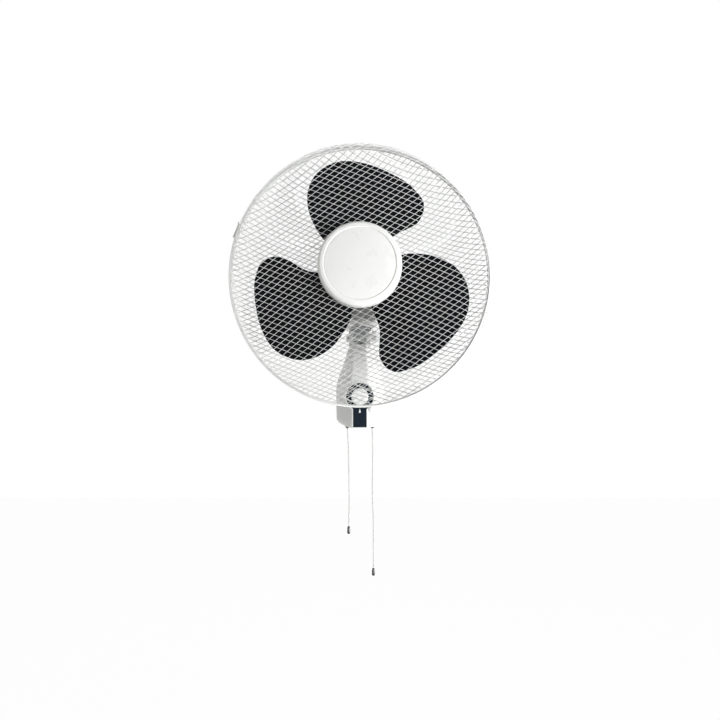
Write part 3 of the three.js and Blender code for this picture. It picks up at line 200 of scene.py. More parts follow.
MATERIALS = {
    "white_plastic": plastic("white_plastic", (0.825, 0.825, 0.81), (0.845, 0.845, 0.83), (0.24, 0.36),
                             coat=0.15),
    "white_wire": plastic("white_wire", (0.87, 0.875, 0.875), (0.91, 0.915, 0.915), (0.3, 0.45), grain=2500),
    # The rear guard is the same white wire as the front. This darker, warmer copy is painted shade that
    # stands in for the shadow falling on it.
    "painted_shade_back_wire": plastic("painted_shade_back_wire", (0.62, 0.62, 0.59), (0.68, 0.68, 0.65), (0.3, 0.45), grain=2500),
    "blade_plastic": plastic("blade_plastic", (0.0005, 0.0012, 0.0018), (0.002, 0.0035, 0.005), (0.30, 0.40),
                             shine=0.07),
    "panel_plastic": plastic("panel_plastic", (0.002, 0.008, 0.017), (0.005, 0.012, 0.024), (0.16, 0.26),
                             shine=0.2),
    "black_plastic": plastic("black_plastic", (0.014, 0.014, 0.015), (0.026, 0.026, 0.028), (0.38, 0.52)),
    "pendant": plastic("pendant", (0.008, 0.008, 0.009), (0.014, 0.014, 0.016), (0.08, 0.16), coat=0.6),
    "cast_metal": metal("cast_metal", (0.42, 0.43, 0.44), (0.56, 0.57, 0.58), (0.42, 0.6),
                        grain_height=0.00006),
    "steel": metal("steel", (0.52, 0.53, 0.54), (0.66, 0.67, 0.68), (0.24, 0.38), stretch=(1, 0.1, 1)),
    "laminations": laminated("laminations", (0.10, 0.105, 0.11), (0.26, 0.27, 0.28)),
    "copper": metal("copper", (0.42, 0.17, 0.06), (0.62, 0.28, 0.11), (0.25, 0.4), stretch=(1, 6, 1)),
    "bronze": metal("bronze", (0.42, 0.26, 0.10), (0.54, 0.36, 0.16), (0.4, 0.55)),
    "cord": braided("cord", (0.46, 0.46, 0.44), (0.78, 0.78, 0.75)),
}

# ---------------------------------------------------------------- shells

# A shell is a list of points and a list of faces, in millimetres.
TINY = 1e-6
LONGEST_ARC = 0.49
MITRE_LIMIT = 0.35

# Points nearer than this are merged, in metres for a piece and in millimetres for a shell that is shaped.
MERGE_DISTANCE = 1e-7
SHAPED_MERGE_DISTANCE = 1e-5


def polar(radius, degrees):
    angle = math.radians(degrees)
    return radius * math.cos(angle), radius * math.sin(angle)


def arc(x, z, radius, start, sweep, steps):
    """Points round a centre, from a start angle through a sweep, both in degrees."""
    spokes = [polar(radius, start + sweep * k / steps) for k in range(steps + 1)]
    return [(x + across, z + up) for across, up in spokes]


def merged(*shells):
    points, faces = [], []
    for shell_points, shell_faces in shells:
        base = len(points)
        points.extend(shell_points)
        faces.extend([tuple(i + base for i in face) for face in shell_faces])
    return points, faces


def moved(shell, x=0.0, y=0.0, z=0.0):
    return [(px + x, py + y, pz + z) for px, py, pz in shell[0]], shell[1]


def turned_about(shell, axis, degrees, centre=(0, 0, 0)):
    matrix = Matrix.Translation(centre) @ Matrix.Rotation(math.radians(degrees), 4, axis)
    matrix = matrix @ Matrix.Translation(-Vector(centre))
    return [tuple(matrix @ Vector(p)) for p in shell[0]], shell[1]


def rounded(corners, steps=5, closed=False):
    """A line whose corners, given as (a, b, radius), are replaced by arcs. A radius of 0 keeps the corner."""
    line = []
    count = len(corners)
    for i, (a, b, radius) in enumerate(corners):
        here = Vector((a, b))
        if radius <= 0 or (not closed and i in (0, count - 1)):
            line.append((a, b))
            continue
        before = Vector(corners[i - 1][:2]) - here
        after = Vector(corners[(i + 1) % count][:2]) - here
        turn = before.angle(after)
        reach = min(radius / math.tan(turn / 2), before.length * LONGEST_ARC, after.length * LONGEST_ARC)
        start = here + before.normalized() * reach
        end = here + after.normalized() * reach
        for k in range(steps + 1):
            t = k / steps
            p = start * (1 - t) ** 2 + here * 2 * t * (1 - t) + end * t * t
            line.append((p.x, p.y))
    return line


def lathe(profile, segments):
    """Turns (radius, y) pairs about Y. The profile is a ring's or it ends on the axis."""
    points, faces, rows = [], [], []
    for radius, y in profile:
        if radius < TINY:
            rows.append([len(points)] * segments)
            points.append((0.0, y, 0.0))
        else:
            rows.append(list(range(len(points), len(points) + segments)))
            for k in range(segments):
                x, z = polar(radius, 360 * k / segments)
                points.append((x, y, z))
    pairs = list(zip(rows, rows[1:]))
    if profile[0][0] > TINY and profile[-1][0] > TINY:
        pairs.append((rows[-1], rows[0]))
    for low, high in pairs:
        for k in range(segments):
            n = (k + 1) % segments
            face = []
            for i in (low[k], low[n], high[n], high[k]):
                if i not in face:
                    face.append(i)
            if len(face) > 2:
                faces.append(tuple(face))
    return points, faces


def lathe_x(profile, segments):
    points, faces = lathe(profile, segments)
    return [(y, x, z) for x, y, z in points], faces


def lathe_z(profile, segments):
    points, faces = lathe(profile, segments)
    return [(x, z, y) for x, y, z in points], faces


def bar(radius, low, high, segments, turn=lathe):
    """A plain round bar from low to high along the axis of the turning function."""
    return turn([(0, low), (radius, low), (radius, high), (0, high)], segments)


def skin(rings, closed=False):
    """Skins rings of equal length. An open stack is closed by a face at each end."""
    count = len(rings[0])
    points = [p for ring in rings for p in ring]
    faces = []
    spans = len(rings) if closed else len(rings) - 1
    for i in range(spans):
        a, b = i * count, ((i + 1) % len(rings)) * count
        for k in range(count):
            n = (k + 1) % count
            faces.append((a + k, a + n, b + n, b + k))
    if not closed:
        faces.append(tuple(range(count)))
        last = (len(rings) - 1) * count
        faces.append(tuple(last + k for k in reversed(range(count))))
    return points, faces


def tube(path, radius, sides, closed=False):
    """A round wire along a path, with its section carried along without twist."""
    path = [Vector(p) for p in path]
    count = len(path)
    rings = []
    normal = None
    for i, p in enumerate(path):
        ahead = path[(i + 1) % count] if closed or i + 1 < count else p
        behind = path[i - 1] if closed or i > 0 else p
        tangent = (ahead - behind).normalized()
        if normal is None:
            normal = tangent.orthogonal().normalized()
        normal = (normal - tangent * normal.dot(tangent)).normalized()
        side = tangent.cross(normal)
        ring = []
        for k in range(sides):
            a = 2 * math.pi * k / sides
            ring.append(tuple(p + (normal * math.cos(a) + side * math.sin(a)) * radius))
        rings.append(ring)
    return skin(rings, closed)


def ring_wire(radius, y, wire_r, segments=160):
    circle = [polar(radius, 360 * k / segments) for k in range(segments)]
    return tube([(x, y, z) for x, z in circle], wire_r, 10, closed=True)


def grown(outline, amount):
    """A closed outline moved outwards by an amount along its own normals (the outline runs anticlockwise)."""
    result = []
    count = len(outline)
    for i in range(count):
        here = Vector(outline[i])
        before = (here - Vector(outline[i - 1])).normalized()
        after = (Vector(outline[(i + 1) % count]) - here).normalized()
        a, b = Vector((before.y, -before.x)), Vector((after.y, -after.x))
        middle = a + b
        middle = middle.normalized() if middle.length > TINY else a
        result.append(tuple(here + middle * amount / max(MITRE_LIMIT, middle.dot(a))))
    return result


def slab(outline, front, back, edge, steps=3, front_only=False):
    """A plate with rounded edges from an (x, z) outline, from its front to its back depth."""
    rings = []
    for k in range(steps + 1):
        a = math.pi / 2 * k / steps
        rings.append((-edge * (1 - math.sin(a)), front + edge * (1 - math.cos(a))))
    if front_only:
        rings.append((0, back))
    else:
        rings += [(inset, back - (y - front)) for inset, y in reversed(rings)]
    return skin([[(x, y, z) for x, z in grown(outline, inset)] for inset, y in rings])


def box(low, high, edge):
    """A block with rounded edges between two corners."""
    outline = rounded([(low[0], low[2], edge), (high[0], low[2], edge), (high[0], high[2], edge),
                       (low[0], high[2], edge)], 3, closed=True)
    return slab(outline, low[1], high[1], min(edge * 0.6, (high[1] - low[1]) * 0.4))


def mesh_object(name, shell, scale, merge_distance):
    """Makes an object of a shell, with double points merged, faces turned outward and all faces smooth."""
    points, faces = shell
    mesh = bpy.data.meshes.new(name)
    mesh.from_pydata([(x * scale, y * scale, z * scale) for x, y, z in points], [], faces)
    obj = bpy.data.objects.new(name, mesh)
    scene.collection.objects.link(obj)
    work = bmesh.new()
    work.from_mesh(mesh)
    bmesh.ops.remove_doubles(work, verts=work.verts, dist=merge_distance)
    bmesh.ops.recalc_face_normals(work, faces=work.faces)
    for face in work.faces:
        face.smooth = True
    work.to_mesh(mesh)
    work.free()
    return obj


def piece(name, shell, body, slot, nodes, angle=32, look=None):
    """Makes a piece of the scene that rides on a body and stands for the named nodes.

    Edges sharper than the angle stay sharp. The look is a material other than the slot's own."""
    obj = mesh_object(name, shell, MM, MERGE_DISTANCE)
    obj.data.set_sharp_from_angle(angle=math.radians(angle))
    obj.data.materials.append(MATERIALS[look or slot])
    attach(obj, body)
    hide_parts(*nodes)
    return obj


def at_head(shell):
    """Moves a shell from the fan's own axes to the model's."""
    return moved(shell, y=PIVOT_Y, z=FAN_Z)


def at_tilt(shell):
    """Moves a shell from the tilt bolt's middle to its place in the model."""
    return moved(shell, y=PIVOT_Y, z=TILT_Z)


def shaped(name, base, joined=(), cut=()):
    """The union of a base shell and others, less the cutting shells, as one shell."""
    target = mesh_object(f"{name}_base", base, 1, SHAPED_MERGE_DISTANCE)
    tools = []
    for kind, shells in (("UNION", joined), ("DIFFERENCE", cut)):
        for i, shell in enumerate(shells):
            tool = mesh_object(f"{name}_{kind}_{i}", shell, 1, SHAPED_MERGE_DISTANCE)
            modifier = target.modifiers.new(kind, "BOOLEAN")
            modifier.operation = kind
            modifier.solver = "EXACT"
            modifier.object = tool
            tools.append(tool)
    graph = bpy.context.evaluated_depsgraph_get()
    result = target.evaluated_get(graph).to_mesh()
    points = [tuple(v.co) for v in result.vertices]
    faces = [tuple(p.vertices) for p in result.polygons]
    target.evaluated_get(graph).to_mesh_clear()
    for obj in [target, *tools]:
        mesh = obj.data
        bpy.data.objects.remove(obj)
        bpy.data.meshes.remove(mesh)
    return points, faces


# ---------------------------------------------------------------- pull cords

CORD_R = 0.9
CORD_Y = -130
CORD_TOP_Z = -25.5
CORD_EXIT_X = 23.3
PENDANT_HEIGHT = 14
CORD_IN_PENDANT = 8
CORD_POINTS = 60
CORD_ROUTES = {
    "speed": [(-CORD_EXIT_X, CORD_TOP_Z), (-CORD_EXIT_X, -57), (-23, -63), (-21.9, -78), (-21.1, -102),
              (-20.3, -150), (-19.9, -200), (-20.7, -230), (-20.9, -246.5)],
    "swing": [(CORD_EXIT_X, CORD_TOP_Z), (CORD_EXIT_X, -57), (23.5, -63), (24.1, -76), (24.2, -110),
              (23.6, -165), (23.9, -193), (25.1, -216), (25.4, -265), (25.4, -324.8)],
}


def centripetal(route, count):
    """Points on the centripetal curve through the route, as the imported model's cords follow it."""
    points = [Vector(p) for p in route]
    points = [points[0] * 2 - points[1], *points, points[-1] * 2 - points[-2]]
    spans = len(route) - 1
    result = []
    for k in range(count + 1):
        place = min(k / count * spans, spans - 1e-9)
        i = int(place)
        p = points[i:i + 4]
        times = [0.0]
        for a, b in zip(p, p[1:]):
            times.append(times[-1] + math.sqrt((b - a).length))
        t = times[1] + (place - i) * (times[2] - times[1])

        def blend(a, b, ta, tb):
            return a * ((tb - t) / (tb - ta)) + b * ((t - ta) / (tb - ta))

        a1 = blend(p[0], p[1], times[0], times[1])
        a2 = blend(p[1], p[2], times[1], times[2])
        a3 = blend(p[2], p[3], times[2], times[3])
        b1 = blend(a1, a2, times[0], times[2])
        b2 = blend(a2, a3, times[1], times[3])
        result.append(blend(b1, b2, times[1], times[2]))
    return [(v.x, CORD_Y, v.y) for v in result]


def pendant(x, top):
    """A bell on the end of a cord, hollow at its lower end."""
    bottom = top - PENDANT_HEIGHT
    profile = rounded([
        (CORD_R + GAP, top, 0), (1.7, top, 0.3), (2.3, top - 1.4, 1), (2.7, top - 4, 3), (2.9, top - 10, 3),
        (2.8, bottom + 1.4, 1), (2.3, bottom, 0.4), (1.7, bottom, 0.2), (1.6, bottom + 5, 0),
        (CORD_R + GAP, bottom + 5.5, 0),
    ], 4)
    return moved(lathe_z(profile, 40), x=x, y=CORD_Y)


# The noses of the eyelets are short, as they hardly show under the box in the photo.
eyelet_profile = rounded([
    (1.5, -54.6, 0.2), (1.9, -54.6, 0.3), (2.3, -53.9, 0.4), (3.4, -53.3, 0.3), (3.4, -52.3, 0.1),
    (2.6, -52.3, 0), (2.6, -44, 0.2), (1.5, -44, 0.3),
], 3, closed=True)


for cord_name, route in CORD_ROUTES.items():
    body = f"{cord_name}_pull"
    path = centripetal(route, CORD_POINTS)
    line = piece(f"{cord_name}_cord_braid", tube(path, CORD_R, 10), body, "cord", [f"{cord_name}_cord"],
                 angle=60)
    end_x, end_z = route[-1]
    bell = piece(f"{cord_name}_bell", pendant(end_x, end_z + CORD_IN_PENDANT), body, "pendant",
                 [f"{cord_name}_pendant"])
    eyelet = moved(lathe_z(eyelet_profile, 36), x=route[0][0], y=CORD_Y)
    piece(f"{cord_name}_cord_eyelet", eyelet, "wall", "black_plastic", [f"{cord_name}_eyelet"])

# ---------------------------------------------------------------- guards

DISH_R = 211.6
RIM_R = 212.6
RIM_WIRE_R = 1.2
FRONT_DISH = {"rim_y": -112, "towards": -1, "side": 48, "crown": 12, "corner": (14, 0.5)}
REAR_DISH = {"rim_y": -108, "towards": 1, "side": 30, "crown": 15.3, "corner": (8, 1.0)}
FRONT_WIRE_R, REAR_WIRE_R = 0.32, 0.64
FRONT_PITCH, REAR_PITCH = 8.2, 7.6
FRONT_ANGLES, REAR_ANGLES = (38.8, -22.0), (35.5, -20.5)
WIRE_PHASES = (0.21, 0.05)
WIRE_STEPS = 34
WIRE_CROWDING = math.radians(82)
RIM_MARGIN = 3
CAP_HOOP_R, CAP_HOOP_WIRE_R = 58.8, 1.8
PLATE_R = 44
PLATE_WALL = 1.5
SHAFT_WAY_R = 17.4


def dish(shape, radius, rim, inset=0.0):
    """Depth of a guard at a radius. The corner's two powers give the form of its shoulder."""
    out = min(1.0, radius / rim)
    power, root = shape["corner"]
    depth = (shape["side"] - inset) * (1 - out ** power) ** root + shape["crown"] * (1 - out * out)
    return shape["rim_y"] + shape["towards"] * depth


def guard_wires(shape, pitch, wire_r, angles, centre_r):
    """Two families of straight wires, one just inside the other, from the rim to the ring round the middle.

    The points of a wire crowd towards its ends, where the shoulder bends it."""
    shells = []
    for layer, angle in enumerate(angles):
        inset = layer * 2 * wire_r
        rim = DISH_R - inset
        direction = math.radians(angle)
        reach = int(rim / pitch)
        for i in range(-reach, reach + 1):
            offset = (i + WIRE_PHASES[layer]) * pitch
            if abs(offset) > rim - RIM_MARGIN:
                continue
            half = math.sqrt(rim ** 2 - offset ** 2)
            spans = [(-1.0, 1.0)]
            if abs(offset) < centre_r:
                share = math.sqrt(centre_r ** 2 - offset ** 2) / half
                stop = math.asin(share * math.sin(WIRE_CROWDING)) / WIRE_CROWDING
                spans = [(-1.0, -stop), (stop, 1.0)]
            for low, high in spans:
                path = []
                for k in range(WIRE_STEPS + 1):
                    t = low + (high - low) * k / WIRE_STEPS
                    along = half * math.sin(t * WIRE_CROWDING) / math.sin(WIRE_CROWDING)
                    x = along * math.cos(direction) - offset * math.sin(direction)
                    z = along * math.sin(direction) + offset * math.cos(direction)
                    path.append((x, dish(shape, math.hypot(x, z), rim, inset), z))
                shells.append(tube(path, wire_r, 6))
    return shells


cap_hoop_y = dish(FRONT_DISH, CAP_HOOP_R, DISH_R) + 1
front_guard = merged(*guard_wires(FRONT_DISH, FRONT_PITCH, FRONT_WIRE_R, FRONT_ANGLES, CAP_HOOP_R),
                     ring_wire(RIM_R, FRONT_DISH["rim_y"], RIM_WIRE_R),
                     ring_wire(CAP_HOOP_R, cap_hoop_y, CAP_HOOP_WIRE_R, 96))
piece("front_guard_mesh", at_head(front_guard), "head", "white_wire", ["front_guard"], angle=75)

COVER_FRONT_Y = -59.9
rear_plate_y = COVER_FRONT_Y - GAP - PLATE_WALL
rear_plate = lathe(rounded([
    (SHAFT_WAY_R, rear_plate_y + PLATE_WALL, 0.3), (46, rear_plate_y + PLATE_WALL, 0.5),
    (46, rear_plate_y - 3.4, 0.6), (42, rear_plate_y - 3.4, 0.8), (41, rear_plate_y, 0.8),
    (SHAFT_WAY_R, rear_plate_y, 0.3),
], 4, closed=True), 96)
rear_guard = merged(*guard_wires(REAR_DISH, REAR_PITCH, REAR_WIRE_R, REAR_ANGLES, PLATE_R),
                    ring_wire(RIM_R, REAR_DISH["rim_y"], RIM_WIRE_R), rear_plate)
# The rear guard uses the darker copy of the white wire, which is painted shade, not a different colour of
# wire.
piece("rear_guard_mesh", at_head(rear_guard), "head", "white_wire", ["rear_guard"], angle=75,
      look="painted_shade_back_wire")

# ---------------------------------------------------------------- hoop, clips and rim screw

HOOP_OUTER_R, HOOP_INNER_R, HOOP_WALL = 216, 213.4, 1.4
HOOP_FRONT, HOOP_BACK = -115.6, -104.4
EAR_FOOT = -2.2
CLIP_PIVOT_R, CLIP_PIN_R, CLIP_BARREL_R, CLIP_EAR_R = 217.5, 0.8, 1.7, 1.8
CLIP_EAR_DEPTH, CLIP_FRONT, CLIP_BACK = 2.3, -113, -107
CLIP_ANGLES = {"left": 156.2, "right": -16.2}
CLIP_SWEEP, CLIP_LIFT, CLIP_STEPS = 6.4, 1.6, 18
RIM_SCREW_R, RIM_SCREW_ANGLE, RIM_SCREW_EAR_R = 219.5, -85.3, 4.5


def ear(pivot_r, degrees, radius, front, back):
    """A lug with a round end that stands out of the hoop."""
    foot = pivot_r + EAR_FOOT
    outline = [(foot, -radius), *arc(pivot_r, 0, radius, -90, 180, 12), (foot, radius)]
    return turned_about(slab(outline, front, back, 0.5), "Y", -degrees)


lip_r, lip_front, lip_back = HOOP_OUTER_R - HOOP_WALL, HOOP_FRONT + HOOP_WALL, HOOP_BACK - HOOP_WALL
hoop_profile = rounded([
    (HOOP_INNER_R, HOOP_FRONT, 0.5), (HOOP_OUTER_R, HOOP_FRONT, 1.3), (HOOP_OUTER_R, HOOP_BACK, 1.3),
    (HOOP_INNER_R, HOOP_BACK, 0.5), (HOOP_INNER_R, lip_back, 0.4), (lip_r, lip_back, 0.5),
    (lip_r, lip_front, 0.5), (HOOP_INNER_R, lip_front, 0.4),
], 4, closed=True)
ears = []
for degrees in CLIP_ANGLES.values():
    for front in (HOOP_FRONT, HOOP_BACK - CLIP_EAR_DEPTH):
        ears.append(ear(CLIP_PIVOT_R, degrees, CLIP_EAR_R, front, front + CLIP_EAR_DEPTH))
ears.append(ear(RIM_SCREW_R, RIM_SCREW_ANGLE, RIM_SCREW_EAR_R, HOOP_FRONT, HOOP_BACK))
piece("hoop_band", at_head(merged(lathe(hoop_profile, 240), *ears)), "head", "white_plastic", ["guard_hoop"])


def clip_lever(start, sweep):
    """A thin bar that lies along the hoop and lifts a little towards its free end."""
    inner, outer = [], []
    for k in range(CLIP_STEPS + 1):
        share = k / CLIP_STEPS
        radius = HOOP_OUTER_R + 0.6 + CLIP_LIFT * share ** 3
        thick = 2.2 - 0.5 * share
        inner.append(polar(radius, start + sweep * share))
        outer.append(polar(radius + thick, start + sweep * share))
    outline = [*outer, *reversed(inner)] if sweep > 0 else [*inner, *reversed(outer)]
    return slab(outline, CLIP_FRONT, CLIP_BACK, 0.5)


barrel = lathe(rounded([
    (CLIP_PIN_R + GAP, CLIP_FRONT, 0), (CLIP_BARREL_R, CLIP_FRONT, 0.3), (CLIP_BARREL_R, CLIP_BACK, 0.3),
    (CLIP_PIN_R + GAP, CLIP_BACK, 0),
], 3), 32)
rivet = lathe(rounded([
    (0, HOOP_FRONT - 0.8, 0), (CLIP_PIN_R, HOOP_FRONT - 0.8, 0.3), (CLIP_PIN_R, HOOP_BACK + 0.8, 0.3),
    (0, HOOP_BACK + 0.8, 0),
], 3), 24)
for side, start in CLIP_ANGLES.items():
    sweep = CLIP_SWEEP if side == "left" else -CLIP_SWEEP
    x, z = polar(CLIP_PIVOT_R, start)
    lever = merged(clip_lever(start, sweep), moved(barrel, x=x, z=z))
    piece(f"{side}_clip_lever", at_head(lever), f"{side}_clip", "white_plastic", [f"{side}_clip"])
    piece(f"{side}_clip_rivet", at_head(moved(rivet, x=x, z=z)), "head", "steel", [f"{side}_clip_pin"])

screw_x, screw_z = polar(RIM_SCREW_R, RIM_SCREW_ANGLE)
screw_head = HOOP_FRONT - GAP
rim_screw = lathe(rounded([
    (0, screw_head - 2, 0), (2.6, screw_head - 2, 0.8), (3.6, screw_head - 0.6, 0.5),
    (3.6, screw_head, 0.1), (2, screw_head, 0), (2, HOOP_BACK + 5, 0.4), (0, HOOP_BACK + 5, 0),
], 4), 32)
cross = [box((-2.4, screw_head - 3, -0.45), (2.4, screw_head - 1.1, 0.45), 0.1),
         box((-0.45, screw_head - 3, -2.4), (0.45, screw_head - 1.1, 2.4), 0.1)]
rim_screw = moved(shaped("rim_screw", rim_screw, cut=cross), x=screw_x, z=screw_z)
piece("rim_screw_cross", at_head(rim_screw), "head", "steel", ["rim_screw"], look="white_wire")

# ---------------------------------------------------------------- cap

CAP_R = 65.3
CAP_FRONT_Y, CAP_BACK_Y = -188, -171.9
GROOVE_R = 55
SPIGOT_INNER_R, SPIGOT_OUTER_R, SPIGOT_BACK_Y = 54.3, 56.3, -166.3

cap_profile = rounded([
    (0, CAP_FRONT_Y, 0), (20, CAP_FRONT_Y + 0.25, 60), (40, CAP_FRONT_Y + 1.1, 60),
    (GROOVE_R - 1.1, CAP_FRONT_Y + 2.2, 0.5), (GROOVE_R - 0.2, CAP_FRONT_Y + 3.1, 0.5),
    (GROOVE_R + 0.9, CAP_FRONT_Y + 1.5, 0.7), (CAP_R - 4.4, CAP_FRONT_Y + 2.1, 3),
    (CAP_R - 1, CAP_FRONT_Y + 5.4, 3), (CAP_R, CAP_BACK_Y, 0.4), (CAP_R - 2, CAP_BACK_Y, 0.4),
    (CAP_R - 3, CAP_FRONT_Y + 7.4, 1), (GROOVE_R, CAP_FRONT_Y + 5.6, 0), (0, CAP_FRONT_Y + 4, 0),
], 6)
spigot = lathe(rounded([
    (SPIGOT_INNER_R, CAP_FRONT_Y + 4.5, 0), (SPIGOT_OUTER_R, CAP_FRONT_Y + 4.5, 0),
    (SPIGOT_OUTER_R, SPIGOT_BACK_Y, 0.4), (SPIGOT_INNER_R, SPIGOT_BACK_Y, 0.4),
], 3, closed=True), 96)
cap = merged(lathe(cap_profile, 160), spigot)
piece("cap_dome", at_head(cap), "head", "white_plastic", ["guard_cap"])

# ---------------------------------------------------------------- blades, hub and spinner

# A blade lies on a helix, which is BLADE_AHEAD in front of the fan's origin at the angle BLADE_TOP.
BLADE_AHEAD = 125
BLADE_PITCH = 190
BLADE_TOP = 97
BLADE_THICKNESS = 2.2
BLADE_STEPS = 36
ROOT_LIFT = 0.9
HUB_R, HUB_FRONT_Y, HUB_REAR_Y = 42, -152, -100
SHAFT_R = 4

# Outline of the blade that points up, as radius and degrees.
LEADING_EDGE = [(40.6, 51.5), (82, 52), (100, 49.6), (118, 46), (135, 44.3), (150, 45.6)]
BLADE_TIP = [(150, 45.6), (160, 47.8), (167.5, 51), (172, 57), (176, 66), (180.5, 81.5), (184.5, 92),
             (185.5, 100), (182.5, 106), (177.3, 111), (170.4, 115.7), (163.5, 119)]
TRAILING_EDGE = [(40.6, 143), (73, 140), (92, 137), (111.5, 133.3), (131, 129.2), (150.5, 123.8),
                 (163.5, 119)]
SPLINE_STEPS = 40


def spline_samples(points, count):
    """Evenly spaced points along a Catmull-Rom curve through the given (radius, degrees) pairs."""
    flat = [Vector(polar(r, a)) for r, a in points]
    last = len(flat) - 1
    dense = []
    for i in range(last):
        p0, p1, p2, p3 = flat[max(0, i - 1)], flat[i], flat[i + 1], flat[min(last, i + 2)]
        for k in range(SPLINE_STEPS):
            t = k / SPLINE_STEPS
            dense.append(p1 + ((p2 - p0) * 0.5) * t + (p0 * 2 - p1 * 5 + p2 * 4 - p3) * 0.5 * t ** 2
                         + (p1 * 3 - p0 - p2 * 3 + p3) * 0.5 * t ** 3)
    dense.append(flat[-1])
    run = np.cumsum([0.0] + [(b - a).length for a, b in zip(dense, dense[1:])])
    places = np.linspace(0, run[-1], count + 1)
    across, up = (np.interp(places, run, [p[i] for p in dense]) for i in (0, 1))
    return [Vector((float(x), float(z))) for x, z in zip(across, up)]


def blade_shell():
    """A sheet on the helix, as a grid from the leading to the trailing edge and from the root to the tip."""
    n = BLADE_STEPS
    lead, trail = spline_samples(LEADING_EDGE, n), spline_samples(TRAILING_EDGE, n)
    tip = spline_samples(BLADE_TIP, n)
    (root_r, root_start), (_, root_end) = LEADING_EDGE[0], TRAILING_EDGE[0]
    points, faces = [], []
    for side in (-1, 1):
        for v in range(n + 1):
            for u in range(n + 1):
                s, t = u / n, v / n
                root = Vector(polar(root_r, root_start + (root_end - root_start) * s))
                corners = lead[0].lerp(trail[0], s).lerp(tip[0].lerp(tip[-1], s), t)
                flat = lead[v].lerp(trail[v], s) + root.lerp(tip[u], t) - corners
                turn = math.atan2(flat.y, flat.x) - math.radians(BLADE_TOP)
                depth = -BLADE_AHEAD - BLADE_PITCH * turn / (2 * math.pi)
                rows_in = min(u, n - u, n - v)
                half = BLADE_THICKNESS / 2 * (0.5 if rows_in == 0 else 0.85 if rows_in == 1 else 1.0)
                root_lift = ROOT_LIFT * max(0.0, 1 - t * 8) ** 2
                points.append((flat.x, depth + side * (half + root_lift), flat.y))
    row, back = n + 1, (n + 1) ** 2
    for v in range(n):
        for u in range(n):
            a = v * row + u
            faces.append((a, a + 1, a + row + 1, a + row))
            faces.append((back + a, back + a + row, back + a + row + 1, back + a + 1))
    for k in range(n):
        for a, b in ((k, k + 1), (n * row + k + 1, n * row + k), ((k + 1) * row, k * row),
                     (k * row + n, (k + 1) * row + n)):
            faces.append((a, back + a, back + b, b))
    return points, faces


one_blade = blade_shell()
hub = lathe(rounded([
    (SHAFT_R + GAP, HUB_FRONT_Y, 0.3), (33, HUB_FRONT_Y, 3), (39.5, HUB_FRONT_Y + 1.6, 4),
    (41.2, HUB_FRONT_Y + 6, 4), (HUB_R, HUB_REAR_Y, 0.6), (HUB_R - 2.5, HUB_REAR_Y, 0.6),
    (38.7, HUB_FRONT_Y + 7, 4), (34, HUB_FRONT_Y + 3, 2), (10, HUB_FRONT_Y + 3, 1.5),
    (9, HUB_REAR_Y - 8, 0.4), (SHAFT_R + GAP, HUB_REAR_Y - 8, 0.3),
], 5, closed=True), 120)
wheel = merged(hub, *[turned_about(one_blade, "Y", 120 * i) for i in range(3)])
piece("blade_wheel_leaves", at_head(wheel), "spinner", "blade_plastic", ["blade_wheel"], angle=50)

spinner_front, spinner_back, spinner_floor = -164.6, HUB_FRONT_Y - GAP, -162.3
spinner = lathe(rounded([
    (0, spinner_front, 0), (8, spinner_front + 0.5, 4), (13, spinner_front + 3, 3),
    (14.5, spinner_front + 6, 2), (15, spinner_back, 0.4), (SHAFT_R + GAP, spinner_back, 0),
    (SHAFT_R + GAP, spinner_floor, 0), (0, spinner_floor, 0),
], 5), 64)
rib = box((12.5, spinner_front + 4, -1.2), (17, spinner_back, 1.2), 0.6)
spinner = merged(spinner, *[turned_about(rib, "Y", 60 * i) for i in range(6)])
piece("spinner_dome", at_head(spinner), "spinner", "blade_plastic", ["spinner_nut"])

shaft_front, shaft_back = -162, -11
shaft = lathe(rounded([
    (0, shaft_front, 0), (SHAFT_R - 0.8, shaft_front, 0.3), (SHAFT_R, shaft_front + 1, 0.3),
    (SHAFT_R, shaft_back - 1, 0.3), (SHAFT_R - 1, shaft_back, 0.3), (0, shaft_back, 0),
], 3), 40)
piece("shaft_bar", at_head(shaft), "spinner", "steel", ["shaft"])

# ---------------------------------------------------------------- motor covers

MOTOR_R = 58
CHIN_HALF, CHIN_DROP, CHIN_CORNER = 30.5, 64, 7
CHIN_STEPS = 9
CROWN_STEPS = 96
SPLIT_Y = -26
COVER_BACK_Y = 52
NOSE_R = 17
SLOTS, SLOT_SPACING, SLOT_HALF_HEIGHT = 5, 9, 2
POST_WAY_R = 23
NUT_FRONT, NUT_R, NUT_FLANGE_R = -67, 22, 36


def cover_ring(inset, y):
    """The covers' front view: a circle with a flat chin under it, drawn in towards the axis."""
    shoulder = math.degrees(math.acos(CHIN_HALF / MOTOR_R))
    across, low = CHIN_HALF - CHIN_CORNER, CHIN_CORNER - CHIN_DROP
    line = [*arc(across, low, CHIN_CORNER, -90, 90, CHIN_STEPS),
            *arc(0, 0, MOTOR_R, -shoulder, 180 + 2 * shoulder, CROWN_STEPS),
            *arc(-across, low, CHIN_CORNER, 180, 90, CHIN_STEPS)]
    share = 1 - inset / MOTOR_R
    return [(x * share, y, z * share) for x, z in line]


def cover_skin(corners):
    return skin([cover_ring(inset, y) for inset, y in rounded(corners, 6)])


front_outer = cover_skin([
    (5, COVER_FRONT_Y, 0), (3.4, COVER_FRONT_Y, 0.5), (0.8, COVER_FRONT_Y + 2.2, 3),
    (0, COVER_FRONT_Y + 7, 4), (0, SPLIT_Y - 1.2, 0), (0.5, SPLIT_Y - 0.3, 0),
])
front_inner = cover_skin([(2.2, COVER_FRONT_Y + 2.4, 0), (2.2, SPLIT_Y + 5, 0)])
nose_way = bar(NOSE_R + GAP, COVER_FRONT_Y - 5, -40, 64)
front_cover = shaped("front_cover", front_outer, cut=[front_inner, nose_way])
piece("motor_front_shell", at_head(front_cover), "head", "white_plastic", ["motor_front_cover"])

